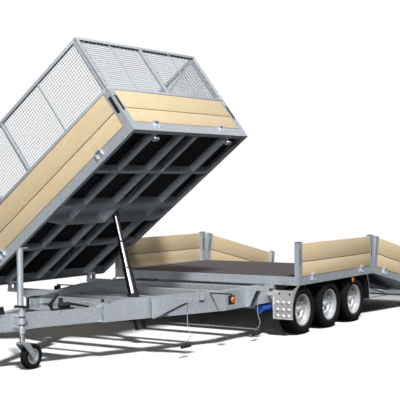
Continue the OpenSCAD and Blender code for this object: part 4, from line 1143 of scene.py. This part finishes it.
    def _gate(self, ends: tuple[float, float], place: Matrix) -> None:
        """Makes the right tipping gate, which hangs open about its top edge.

        Args:
            ends: Where it starts and ends along the trailer.
            place: From the body's rail to the frame.
        """
        lay = LAYOUT
        face, low, high = lay.body_y, lay.board_gap, lay.body_board_h - 2 * lay.board_gap
        pin = Vector((0.0, -face - self.gate_pin_out, high - self.gate_pin_down))
        swing = Matrix.Rotation(math.radians(-lay.gate_hang), 4, "X")
        hung = place @ Matrix.Translation(pin) @ swing @ Matrix.Translation(-pin)
        planks, tongue = self._planks(ends, face, -1, low, high), self._gap_shade(ends, face, -1, low, high)
        self.bench.add(planks, "body_gate_planks", PLANK, "gate", hung, ["body_gate"])
        # The gate's tongue and seal carry the painted shade of its groove and gap.
        self.bench.add(tongue, "body_gate_gap_shade", PAINTED_GAP_SHADE, "gate", hung)
        arm = Shape()
        r, w = self.knuckle_d / 2, self.gate_arm_w
        for x in (ends[0], ends[1] - w):
            self._knuckle(arm, (x, pin.y, pin.z), w)
            arm.box((x, -face - self.strap_t, pin.z - self.gate_arm_h), (x + w, -face, pin.z + r), 1.5)
            arm.box((x, pin.y + 3, pin.z - r), (x + w, -face + 2, pin.z - 3), 1.0)
        self.bench.add(arm, "body_gate_arms", GALVANISED, "gate", hung)

    def _rear_end(self) -> None:
        """Makes the fixed board at the body's rear."""
        lay, t = LAYOUT, self.tongue_in
        y1 = lay.body_y - lay.body_post - SEAT
        z0 = lay.body_z + lay.rail_h + SEAT
        x, cut = lay.body_rear_x + self.rear_in, z0 + self.rear_low
        x1 = x + lay.board_t
        shape = Shape().box((x, -y1, z0), (x1, y1, cut), self.edge)
        shape.box((x, -y1, cut + lay.groove), (x1, y1, z0 + lay.body_board_h - 4), self.edge)
        shape.box((x + t, -y1 + 2, cut - t), (x1 - t, y1 - 2, cut + t + lay.groove))
        self.bench.add(
            shape, "body_board_rear_planks", PLANK, "tipping_body", lay.tipped(), ["body_board_rear"], "yzx"
        )


@dataclass
class Cage:
    """Mesh cage of the tipping body: tube frames, thin bars, a brace and square mesh of crossed wires."""

    bench: Bench
    pitch: float = 30.0
    wire: float = 3.4
    wire_lap: float = 4.0
    crossing: float = 0.9
    bar_places: tuple[float, float] = (0.25, 0.75)
    bar_w: float = 12.0
    bar_in: float = 2.0
    bar_t: float = 10.0
    brace_w: float = 22.0
    brace_t: float = 11.0
    brace_in: float = 14.0

    def build(self) -> None:
        """Makes the four panels' frames and their mesh."""
        lay = LAYOUT
        tube = lay.cage_tube
        frame = Shape()
        wires: list[Copy] = []
        length, width = lay.body_x - lay.body_rear_x, 2 * lay.body_y - 2 * tube - 2 * SEAT
        inner_y = -lay.body_y + tube + SEAT
        self._panel(frame, wires, "x", lay.body_rear_x, lay.body_y - tube, length, True)
        self._panel(frame, wires, "x", lay.body_rear_x, -lay.body_y, length, False)
        self._panel(frame, wires, "y", lay.body_x - tube, inner_y, width, False)
        self._panel(frame, wires, "y", lay.body_rear_x, inner_y, width, False)
        self.bench.add(frame, "cage_frames", GALVANISED, "tipping_body", lay.tipped(), ["body_cage"])
        self.bench.repeat(Form.BAR, wires, "cage_mesh", GALVANISED, "tipping_body", lay.tipped())

    def _panel(
        self, frame: Shape, wires: list[Copy], axis: str, x0: float, y0: float, w: float, brace: bool
    ) -> None:
        """Adds one panel.

        Args:
            frame: The shape that the tubes go into.
            wires: The list that the mesh wires go into.
            axis: x for a side panel and y for an end panel.
            x0: Lowest x of the panel.
            y0: Lowest y of the panel.
            w: Its length.
            brace: Whether its rear half has a diagonal.
        """
        lay = LAYOUT
        t, z0 = lay.cage_tube, lay.body_z + lay.rail_h + lay.body_board_h + SEAT
        h = lay.body_z + lay.cage_top - z0

        def spot(u: float, v: float, z: float) -> Point:
            """Gives the point at a place along the panel, across it and up."""
            return (x0 + u, y0 + v, z) if axis == "x" else (x0 + v, y0 + u, z)

        def block(low: Point, high: Point, bevel: float = 3.0) -> None:
            """Adds a block between two corners, along the panel, across it and up from its foot."""
            frame.box(spot(low[0], low[1], z0 + low[2]), spot(high[0], high[1], z0 + high[2]), bevel)

        block((0, 0, 0), (w, t, t))
        block((0, 0, h - t), (w, t, h))
        for u in (0, w / 2 - t / 2, w - t):
            block((u, 0, t - 1), (u + t, t, h - t + 1))
        for share in self.bar_places:
            u, v, half = w * share, t / 2 + self.bar_in, self.bar_w / 2
            block((u - half, v, t - 1), (u + half, v + self.bar_t, h - t + 1), 1.5)
        if brace:
            b, low, high = self.brace_w, z0 + t, z0 + h - t
            near, far = x0 + w / 2 - t / 2, x0 + t
            outline = [
                (near, low), (near, low + b), (far + b, high), (far, high), (far, high - b), (near - b, low),
            ]
            frame.prism(outline, "y", y0 + t / 2 - self.brace_in, self.brace_t, 1.5)
        self._mesh(wires, spot, axis, (w, h, z0))

    def _mesh(
        self, wires: list[Copy], spot: Callable[[float, float, float], Point], axis: str, size: Triple
    ) -> None:
        """Adds the upright and the level wires of one panel.

        Args:
            wires: The list that the mesh wires go into.
            spot: Gives the point at a place along the panel, across it and up.
            axis: x for a side panel and y for an end panel.
            size: The panel's length and height, and the height of its foot.
        """
        w, h, z0 = size
        t, d, lap = LAYOUT.cage_tube, self.wire, self.wire_lap
        middle, long, up = t / 2, w - 2 * t, h - 2 * t
        for i in range(1, round(long / self.pitch)):
            u = t + long * i / round(long / self.pitch)
            wires.append((spot(u, middle, z0 + h / 2), UNTURNED, (d, d, up + lap)))
        for i in range(1, round(up / self.pitch)):
            z = z0 + t + up * i / round(up / self.pitch)
            form = (long + lap, d, d) if axis == "x" else (d, long + lap, d)
            wires.append((spot(w / 2, middle + d * self.crossing, z), UNTURNED, form))


@dataclass
class Wheels:
    """Tyres with tread and ribbed walls, and the bolts of the rims."""

    bench: Bench
    tyre_d: float = 525.0
    tyre_w: float = 195.0
    rim_d: float = 350.0
    flange_in: float = 18.0
    wheel_y: float = 1117.5
    steps: int = 72
    blocks: int = 56
    block_size: Triple = (15.0, 14.0, 10.0)
    block_in: float = 21.0
    block_sunk: float = 8.5
    bolts: int = 5
    bolt_circle_r: float = 56.0
    bolt_out: float = 19.0
    bolt_size: Triple = (9.5, 9.5, 16.0)

    def build(self) -> None:
        """Makes the six road wheels."""
        for i, place in enumerate(("front", "mid", "rear")):
            for side, s in SIDES:
                self._wheel(f"{side}_{place}", (-i * LAYOUT.axle_pitch, s * self.wheel_y, self.tyre_d / 2), s)

    def _profile(self) -> list[tuple[float, float]]:
        """Gives the tyre's closed outline: bead, ribbed wall and grooved crown, and the same mirrored."""
        w, r, b = self.tyre_w / 2, self.tyre_d / 2, self.rim_d / 2
        f = w - self.flange_in
        bead = [(b - 8.4, 8.5 - f), (b + 1, 5.5 - f), (b + 3, -f - 2), (b + 7, -f - 6)]
        wall = [
            (b + 12, 8 - w), (b + 16, 5 - w), (b + 24, 2.5 - w), (b + 26, 0.8 - w), (b + 30, 0.8 - w),
            (b + 32, 1.5 - w), (b + 44, 0.6 - w), (b + 56, 3 - w), (b + 58, 1.6 - w), (b + 62, 3.4 - w),
            (b + 64, 5.5 - w), (r - 16, 11 - w), (r - 9, 17 - w), (r - 4, 25 - w),
        ]
        crown = [
            (r - 1.5, 36 - w), (r - 1, 50 - w), (r - 9, 51 - w), (r - 9, 57 - w), (r - 0.6, 58 - w),
            (r, 80 - w), (r - 9, 81 - w), (r - 9, 88 - w), (r, 89 - w),
        ]
        outline = bead + wall + crown
        return outline + [(a, -b) for a, b in reversed(outline)]

    def _wheel(self, name: str, centre: Point, s: int) -> None:
        """Makes one road wheel's tyre, tread and bolts.

        Args:
            name: Side and place of the wheel.
            centre: Its centre.
            s: 1 on the left and -1 on the right.
        """
        body, (x, y, z) = f"wheel_{name}", centre
        shape = Shape().lathe(self._profile(), centre, "y", self.steps)
        self.bench.add(shape, f"tyre_{name}_carcass", RUBBER, body, None, [f"tyre_{name}"])
        blocks = []
        r, out = self.tyre_d / 2 - self.block_sunk, self.tyre_w / 2 - self.block_in
        for k in range(self.blocks):
            a = math.tau * k / self.blocks
            for side in (-1, 1):
                at = (x + r * math.sin(a), y + side * out, z + r * math.cos(a))
                blocks.append((at, (0.0, a, 0.0), self.block_size))
        self.bench.repeat(Form.BAR, blocks, f"tyre_{name}_tread", RUBBER, body)
        nuts = []
        r = self.bolt_circle_r
        for k in range(self.bolts):
            a = math.tau * k / self.bolts
            at = (x + r * math.sin(a), y + s * self.bolt_out, z + r * math.cos(a))
            nuts.append((at, ACROSS_Y, self.bolt_size))
        self.bench.repeat(Form.BOLT, nuts, f"rim_{name}_bolts", BRIGHT, body)


@dataclass
class PostFittings:
    """Black latch blocks in the posts' slots, painted black as the shade in the slots, black plates on the
    body's posts as painted shade of their slots, and the black caps on the posts of deck and tail.
    """

    bench: Bench
    depth: float = 50.0
    wall: float = 5.2
    over: float = 12.0
    tail_less: float = 8.0
    block_from: float = 0.33
    block_to: float = 0.82
    cap: float = 6.0
    cap_in: float = 4.0
    body_block: tuple[float, float] = (120.0, 60.0)
    plate_in: float = 22.0
    end_plate: Triple = (4.0, 140.0, 72.0)
    side_plate: Triple = (3.0, 150.0, 80.0)

    def build(self) -> None:
        """Makes the black slot blocks of deck, tail and body, painted shade in the slots, and the caps."""
        lay = LAYOUT
        h = lay.board_h + self.over
        deck, tail = Shape(), Shape()
        for _, s in SIDES:
            for x in (lay.deck_front_x - lay.post_w, lay.kink_x):
                self._slot_shade_block_and_cap(deck, x, s, h)
            for x, high in ((-lay.post_w - lay.tail_step, h - self.tail_less), (-lay.tail_l, h)):
                self._slot_shade_block_and_cap(tail, x, s, high)
        deck_place = lay.level() @ Matrix.Translation((0.0, 0.0, lay.deck_h))
        self.bench.add(deck, "deck_slot_shade_blocks", BLACK, "chassis", deck_place)
        self.bench.add(tail, "tail_slot_shade_blocks", BLACK, "chassis", lay.sloped())
        self._body()

    def _slot_shade_block_and_cap(self, shape: Shape, x: float, s: int, h: float) -> None:
        """Adds the block behind a post's slot, black as painted shade in the slot, and the post's cap.

        Args:
            shape: The shape that they go into.
            x: The post's rear side.
            s: 1 on the left and -1 on the right.
            h: The post's height.
        """
        x1, w, c = x + LAYOUT.post_w, self.wall, self.cap_in
        y0, y1 = across(s, LAYOUT.rail_y, LAYOUT.rail_y - self.depth)
        # Painted shade: a black block fills the hollow post behind its slot.
        shape.box((x + w, y0 + w, h * self.block_from), (x1 - w, y1 - w, h * self.block_to), 1.0)
        shape.box((x + c, y0 + c, h), (x1 - c, y1 - c, h + self.cap), 2.0)

    def _body(self) -> None:
        """Makes the blocks and plates of the body's four posts, black as painted shade in and over the posts'
        slots.
        """
        lay, w, m = LAYOUT, self.wall, self.plate_in
        foot, top, p = lay.body_z + lay.rail_h, lay.body_z + lay.rail_h + lay.body_board_h, lay.body_post
        inner, plates = Shape(), Shape()
        for _, s in SIDES:
            y0, y1 = across(s, lay.body_y, lay.body_y - p)
            for x in (lay.body_x - p, lay.body_rear_x):
                up, down = self.body_block
                # Painted shade: a black block fills the hollow post behind its slots.
                inner.box((x + w, y0 + w, foot + up), (x + p - w, y1 - w, top - down), 1.0)
                # Painted shade: narrow black plates on the post's end and side faces stand for its dark
                # slots.
                thick, up, down = self.end_plate
                face = (x + p, x + p + thick) if x > lay.body_rear_x else (x - thick, x)
                plates.box((face[0], y0 + m, foot + up), (face[1], y1 - m, top - down), 1.5)
                thick, up, down = self.side_plate
                side = (y1, y1 + thick) if s > 0 else (y0 - thick, y0)
                plates.box((x + m, side[0], foot + up), (x + p - m, side[1], top - down), 1.2)
        self.bench.add(inner, "body_slot_shade_blocks", BLACK, "tipping_body", lay.tipped())
        self.bench.add(plates, "body_slot_shade_plates", BLACK, "tipping_body", lay.tipped())


@dataclass
class BodyFittings:
    """Net hooks of the cage, black as painted shade under its top tube, and the bright forgings of the body's
    hinge sockets.
    """

    bench: Bench
    hook_pitch: float = 62.0
    hook_start: float = 60.0
    hook_rest: float = 100.0
    hook_in: float = 12.0
    hook_down: float = 5.0
    hook_size: Triple = (20.0, 14.0, 9.9)
    socket_xs: tuple[float, float] = (1975.0, 700.0)
    socket_l: float = 70.0
    socket_r: float = 22.0
    socket_bore_r: float = 15.6
    skin: float = 0.9
    web: tuple[float, float] = (27.0, 17.0)

    def build(self) -> None:
        """Makes the hooks and the forgings."""
        self._hooks()
        self._sockets()

    def _hooks(self) -> None:
        """Sets a row of net hooks under the left panel's top tube, black as painted shade beneath the tube.
        """
        lay = LAYOUT
        y, z = lay.body_y - self.hook_in, lay.body_z + lay.cage_top - lay.cage_tube - self.hook_down
        count = int((lay.body_x - lay.body_rear_x - self.hook_rest) / self.hook_pitch)
        xs = [lay.body_rear_x + self.hook_start + i * self.hook_pitch for i in range(count)]
        # Painted shade: the mesh's hooked ends under the top tube are black.
        hooks = [((x, y, z), UNTURNED, self.hook_size) for x in xs]
        self.bench.repeat(Form.BAR, hooks, "cage_shaded_net_hooks", BLACK, "tipping_body", lay.tipped())

    def _sockets(self) -> None:
        """Makes the zinc-plated forgings round the sockets and the webs that carry them."""
        lay = LAYOUT
        shape = Shape()
        hole, outer, length = self.socket_bore_r, self.socket_r + self.skin, self.socket_l
        outline = [
            (hole, 0.2), (outer - 2, 0.2), (outer, 2.2), (outer, length - 2.2), (outer - 2, length - 0.2),
            (hole, length - 0.2),
        ]
        dx, dy = self.web
        for x in self.socket_xs:
            for _, s in SIDES:
                y = s * lay.hinge_y
                shape.lathe(outline, (x - length / 2, y, lay.hinge_z), "x", 32)
                shape.box((x - dx, y - dy, lay.hinge_z + 6), (x + dx, y + dy, lay.body_z - 0.2), 2.0)
        self.bench.add(shape, "hinge_forgings", BRIGHT, "tipping_body", lay.tipped())


@dataclass
class Lamps:
    """Round amber marker lamps on their black brackets."""

    bench: Bench
    lamp_x: float = 1340.0
    lamp_y: float = 1130.0
    lamp_z: float = 495.0
    lamp_r: float = 32.0
    plate_half: tuple[float, float] = (50.0, 45.0)
    plate_t: float = 11.9
    arm_half: float = 7.0
    arm_z: tuple[float, float] = (50.0, 62.0)
    stem_low: float = 40.0
    rail_lamp_x: float = -1141.0
    rail_lamp_z: float = 500.0
    rail_lamp_r: float = 29.0
    rail_plate_y: tuple[float, float] = (1226.0, 1232.0)
    rail_plate_half: float = 20.0
    rail_plate_z: tuple[float, float] = (28.0, 41.7)

    def build(self) -> None:
        """Makes the brackets and the lenses of both sides."""
        lens, black = Shape(), Shape()
        for _, s in SIDES:
            self._outrigged(lens, black, s)
            self._under_rail(lens, black, s)
        self.bench.add(lens, "marker_lenses", AMBER, "chassis", None, ["side_lamps"])
        self.bench.add(black, "marker_brackets", BLACK, "chassis")

    def _lamp(self, lens: Shape, black: Shape, at: Point, s: int, r: float, deep: float, rim: float) -> None:
        """Adds a lens with a rounded front that faces outwards, and the black rim round it.

        Args:
            lens: The shape that the lens goes into.
            black: The shape that the rim goes into.
            at: Centre of the lens's back.
            s: 1 on the left and -1 on the right.
            r: The lens's radius.
            deep: How far the lens stands out.
            rim: How far the rim stands out.
        """
        dome = [
            (0.5, 0), (r, 0), (r, deep - 8), (r - 2, deep - 4), (r - 6, deep - 1.2), (r - 12, deep),
            (0.5, deep),
        ]
        ring = [(r + 0.3, 0), (r + 5, 0), (r + 5, rim - 3), (r + 3, rim), (r + 0.3, rim)]
        for shape, outline in ((lens, dome), (black, ring)):
            shape.lathe([(a, s * b) for a, b in outline], at, "y", 40)

    def _outrigged(self, lens: Shape, black: Shape, s: int) -> None:
        """Makes a front lamp that stands out from the drawbar's beam on an arm."""
        x, y, z, w = self.lamp_x, self.lamp_y, self.lamp_z, self.arm_half
        low, high = across(s, LAYOUT.draw_y(x - 10) + SEAT, y + 6)
        black.box((x - w, low, z + self.arm_z[0]), (x + w, high, z + self.arm_z[1]), 2.0)
        low, high = across(s, y - 4, y + 8)
        black.box((x - w, low, z + self.stem_low), (x + w, high, z + self.arm_z[1]), 2.0)
        low, high = across(s, y, y + self.plate_t)
        dx, dz = self.plate_half
        black.box((x - dx, low, z - dz), (x + dx, high, z + dz), 3.0)
        self._lamp(lens, black, (x, s * (y + 12), z), s, self.lamp_r, 22, 9)

    def _under_rail(self, lens: Shape, black: Shape, s: int) -> None:
        """Makes the lamp that hangs under the side rail."""
        x, z, w = self.rail_lamp_x, self.rail_lamp_z, self.rail_plate_half
        (low, high), (down, up) = across(s, *self.rail_plate_y), self.rail_plate_z
        black.box((x - w, low, z - down), (x + w, high, z + up), 1.5)
        self._lamp(lens, black, (x, s * (self.rail_plate_y[1] + 0.2), z), s, self.rail_lamp_r, 18, 14)


@dataclass
class SplashPlates:
    """Domes, bolts and rolled edges of the aluminium splash plates, and dark sheets over the flaps behind,
    painted shade on the flaps.
    """

    bench: Bench
    face_x: float = 314.5
    inner_y: float = 1010.0
    outer_y: float = 1248.0
    low_z: float = 190.0
    fold_z: float = 436.0
    bolt_z: float = 462.0
    dome_rows: Triple = (365.0, 290.0, 222.0)
    dome_shares: Triple = (0.22, 0.5, 0.78)
    bolt_shares: tuple[float, float] = (0.32, 0.86)
    bolt_size: Triple = (11.0, 11.0, 7.0)
    rim_out: float = 8.0
    side_rim: float = 3.5
    foot_rim: float = 4.0
    flap_x: float = -1528.5
    flap_top: float = 541.7
    flap_low: float = 244.0
    flap_y: tuple[float, float] = (987.0, 1240.0)

    def build(self) -> None:
        """Makes the relief of both plates and the flaps' painted shade."""
        domes, bolts = Shape(), []
        outline = [(0.5, -0.3), (22, -0.3), (17, 4), (10, 7), (0.5, 8.5)]
        width = self.outer_y - self.inner_y
        for _, s in SIDES:
            for z in self.dome_rows:
                for share in self.dome_shares:
                    y = self.inner_y + width * share
                    domes.lathe(outline, (self.face_x, s * y, z), "x", 24)
            for share in self.bolt_shares:
                y = self.inner_y + width * share
                bolts.append(((self.face_x + 3.5, s * y, self.bolt_z), ACROSS_X, self.bolt_size))
        self.bench.add(domes, "splash_domes", TREAD, "chassis")
        self.bench.add(self._shade_sheets(), "flap_shade_sheets", RUBBER, "chassis")
        self.bench.repeat(Form.BOLT, bolts, "splash_bolts", BLACK, "chassis")
        self.bench.add(self._rims(), "splash_rims", TREAD, "chassis")

    def _shade_sheets(self) -> Shape:
        """Makes dark sheets in the tyres' rubber finish over the two flaps behind the wheels, painted shade
        on the flaps.
        """
        x, top, low_z = self.flap_x, self.flap_top, self.flap_low
        outline = [
            (x + 5, top - 6), (x - 51.5, top - 151), (x - 51.5, low_z), (x - 55.8, low_z),
            (x - 55.8, top - 150), (x - 0.2, top - 6),
        ]
        shape = Shape()
        # Painted shade: a thin dark sheet follows each flap's bent face.
        for _, s in SIDES:
            low, high = across(s, *self.flap_y)
            shape.prism(outline, "y", low, high - low, 0.8)
        return shape

    def _rims(self) -> Shape:
        """Makes the rolled inner and lower edges of both plates."""
        x0, x1, shape = self.face_x - 0.2, self.face_x + self.rim_out, Shape()
        for _, s in SIDES:
            low, high = across(s, self.inner_y, self.inner_y + self.side_rim)
            shape.box((x0, low, self.low_z), (x1, high, self.fold_z), 1.2)
            low, high = across(s, self.inner_y, self.outer_y)
            shape.box((x0, low, self.low_z), (x1, high, self.low_z + self.foot_rim), 1.2)
        return shape


@dataclass
class Pump:
    """Hand pump of the tipping ram, and its valve box with a lid."""

    bench: Bench
    x: float = 2800.0
    box_x: float = 2750.0
    floor_z: float = 500.3
    off_beam: float = 70.3
    half_foot: float = 35.0
    lever_r: float = 4.0

    def build(self) -> None:
        """Makes the valve box, its lid, the pump and its lever."""
        self._valve_box()
        wide = 1.0 / math.cos(LAYOUT.draw_angle())
        y = LAYOUT.draw_y(self.x) - self.off_beam * wide - self.half_foot * wide
        turn = Matrix.Rotation(-LAYOUT.draw_angle(), 4, "Z")
        self._pump(LAYOUT.level() @ Matrix.Translation((self.x, y, self.floor_z)) @ turn)

    def _valve_box(self) -> None:
        """Makes the grey box with the raised panel on its left side, and its black lid with a cap."""
        x0, z0 = self.box_x, self.floor_z
        box = Shape().box((x0 + 25, -130, z0), (x0 + 95, -75, z0 + 94.7), 5.0, 3)
        box.box((x0 + 30, -75.5, z0 + 12), (x0 + 90, -72.5, z0 + 80), 1.2)
        self.bench.add(box, "valve_box", GREY_BOX, "chassis")
        lid = Shape().box((x0 + 20, -135, z0 + 94.9), (x0 + 100, -70, z0 + 106.7), 4.0, 3)
        lid.tube([(x0 + 60, -102, z0 + 106), (x0 + 60, -102, z0 + 112)], 14, 20)
        self.bench.add(lid, "valve_box_lid", BLACK, "chassis")

    def _pump(self, place: Matrix) -> None:
        """Makes the pump's foot, barrel, tank, link and pedal, and its bright lever with a black knob.

        Args:
            place: From the pump's coordinates, with x along the beam, to the frame.
        """
        body = Shape().box((-100, -14, 0), (130, 30, 14), 3.0)
        barrel = [
            (0.5, 0), (23, 0), (26, 3), (28, 8), (28, 28), (26, 30), (26, 80), (28, 82), (28, 102), (26, 107),
            (23, 110), (0.5, 110),
        ]
        body.lathe(barrel, (-60, 10, 42), "x", 32)
        filler = [(0.5, 0), (20, 0), (20, 40), (18, 45), (13, 45), (13, 50), (0.5, 50)]
        body.lathe(filler, (30, 10, 60), "z", 28)
        body.prism([(110, 14), (130, 14), (165, 56), (62, 152), (48, 140), (118, 60)], "y", 0, 20, 2.5)
        body.prism([(-50, 66), (-58, 40), (-250, 2), (-258, 16)], "y", 14, 14, 2.0)
        self.bench.add(body, "pump_body", BLACK, "chassis", place, ["hand_pump"])
        lever = Shape().tube([(-400, 8, 52), (-55, 8, 52)], self.lever_r, 16)
        self.bench.add(lever, "pump_lever", BRIGHT, "chassis", place)
        outline = [(0.5, 0), (9, 0), (13, 4), (14, 12), (14, 20), (11, 27), (6, 30), (0.5, 30)]
        self.bench.add(Shape().lathe(outline, (-425, 8, 52), "x", 28), "pump_knob", BLACK, "chassis", place)


@dataclass
class JackFittings:
    """The jack's black grip, rings and T-handle, and the bolts of its clamp."""

    bench: Bench
    jack_x: float = 3262.0
    jack_y: float = 162.66
    top_z: float = 530.0
    arm: float = 134.0
    arm_turn: float = 200.0
    grip_up: float = 30.0
    rings_down: tuple[float, float] = (128.0, 58.0)
    handle_half: float = 82.0
    handle_up: float = 36.0
    handle_r: float = 11.5
    bolt_xs: tuple[float, float] = (-42.0, 42.0)
    bolt_zs: Triple = (390.0, 432.0, 474.0)
    bolt_out: float = 13.2
    bolt_size: Triple = (9.0, 9.0, 6.0)

    def build(self) -> None:
        """Makes the grip, the rings, the T-handle and the bolts."""
        x, y, top = self.jack_x, self.jack_y, self.top_z
        turn = math.radians(self.arm_turn)
        at = (x + self.arm * math.cos(turn), y + self.arm * math.sin(turn), top + self.grip_up)
        grip = [(13.1, 0), (14.5, 0), (15.5, 4), (15.5, 74), (13.5, 82), (13.1, 82)]
        black = Shape().lathe(grip, at, "z", 28)
        for down in self.rings_down:
            black.lathe([(30.2, 0), (33, 0), (33, 10), (30.2, 10)], (x, y, top - down), "z", 40)
        ends = [(x, y + k * self.handle_half, top + self.handle_up) for k in (-1, 1)]
        self.bench.add(black.tube(ends, self.handle_r, 24), "jack_grip", BLACK, "chassis")
        spots = [(along, self.bolt_out, z) for along in self.bolt_xs for z in self.bolt_zs]
        bolts = [(spot, ACROSS_Y, self.bolt_size) for spot in spots]
        self.bench.repeat(Form.BOLT, bolts, "jack_clamp_bolts", BRIGHT, "chassis", self._clamp())

    def _clamp(self) -> Matrix:
        """Gives the clamp's place on the beam's inner face, turned along the beam."""
        angle = LAYOUT.draw_angle()
        y = LAYOUT.draw_y(self.jack_x) - LAYOUT.beam_w / math.cos(angle)
        return LAYOUT.level() @ Matrix.Translation((self.jack_x, y, 0.0)) @ Matrix.Rotation(-angle, 4, "Z")


@dataclass
class RamFittings:
    """Gland rings of the ram's tubes and the black knuckle at its head."""

    bench: Bench
    ram_x: float = 1450.0
    ram_y: float = 20.0
    trunnion_z: float = 440.0
    angle: float = 15.33
    stroke: float = 259.25
    above: float = 80.0
    gland_step: float = 20.0
    head_up: float = 58.0
    tubes: tuple[tuple[str, float], ...] = (
        ("ram_barrel", 60.0), ("ram_stage_1", 49.0), ("ram_stage_2", 40.0),
    )

    def build(self) -> None:
        """Makes a gland ring on each outer tube and the knuckle on the last stage."""
        for i, (body, r) in enumerate(self.tubes):
            outline = [
                (r + 0.05, -16), (r + 2.4, -16), (r + 3, -14), (r + 3, -3), (r + 1, -0.4), (r + 0.05, -0.4),
            ]
            ring = Shape().lathe(outline, (0, 0, self.above + i * self.gland_step), "z", 48)
            self.bench.add(ring, f"{body}_gland", BLACK, body, self._place(i))
        z = self.above + self.head_up
        head = Shape().box((-21, -27, z), (21, 27, z + 30), 3.0)
        head.lathe([(31.1, -14), (34, -14), (35, -12), (35, -2), (33, 0), (31.1, 0)], (0, 0, z), "z", 40)
        self.bench.add(head, "ram_knuckle", BLACK, "ram_stage_3", self._place(len(self.tubes)))

    def _place(self, stages: int) -> Matrix:
        """Gives the place of a stage along the ram's axis."""
        base = LAYOUT.level() @ Matrix.Translation((self.ram_x, self.ram_y, self.trunnion_z))
        lean = Matrix.Rotation(math.radians(self.angle), 4, "X")
        return base @ lean @ Matrix.Translation((0.0, 0.0, stages * self.stroke))


@dataclass
class CadFinishes:
    """Finishes of the CAD nodes that stay in view."""

    bench: Bench

    def build(self) -> None:
        """Gives each node the finish of its slot; the boards' nodes are shown by planks instead."""
        slots = {row["node"]: row["material_slot"] for row in self.bench.frame["record"]["subparts"]}
        finishes = {finish.slot: finish for finish in NODE_FINISHES}
        for name, node in self.bench.frame["nodes"].items():
            finish = finishes[slots[name]]
            if finish is PLANK:
                continue
            node.data.materials.clear()
            node.data.materials.append(self.bench.paint.get(finish))


def main() -> None:
    """Builds the studio, the cords and every sub-assembly, and reports each piece."""
    logging.basicConfig(level=logging.INFO, format="%(message)s")
    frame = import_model()
    Studio().build()
    bench = Bench(frame, Paintbox())
    for assembly in (
        Lanyards, CadFinishes, Boards, Cage, Wheels, PostFittings, BodyFittings, Lamps, SplashPlates, Pump,
        JackFittings, RamFittings,
    ):
        assembly(bench).build()
    LOG.info("%d pieces made", bench.count)


if __name__ == "__main__":
    main()
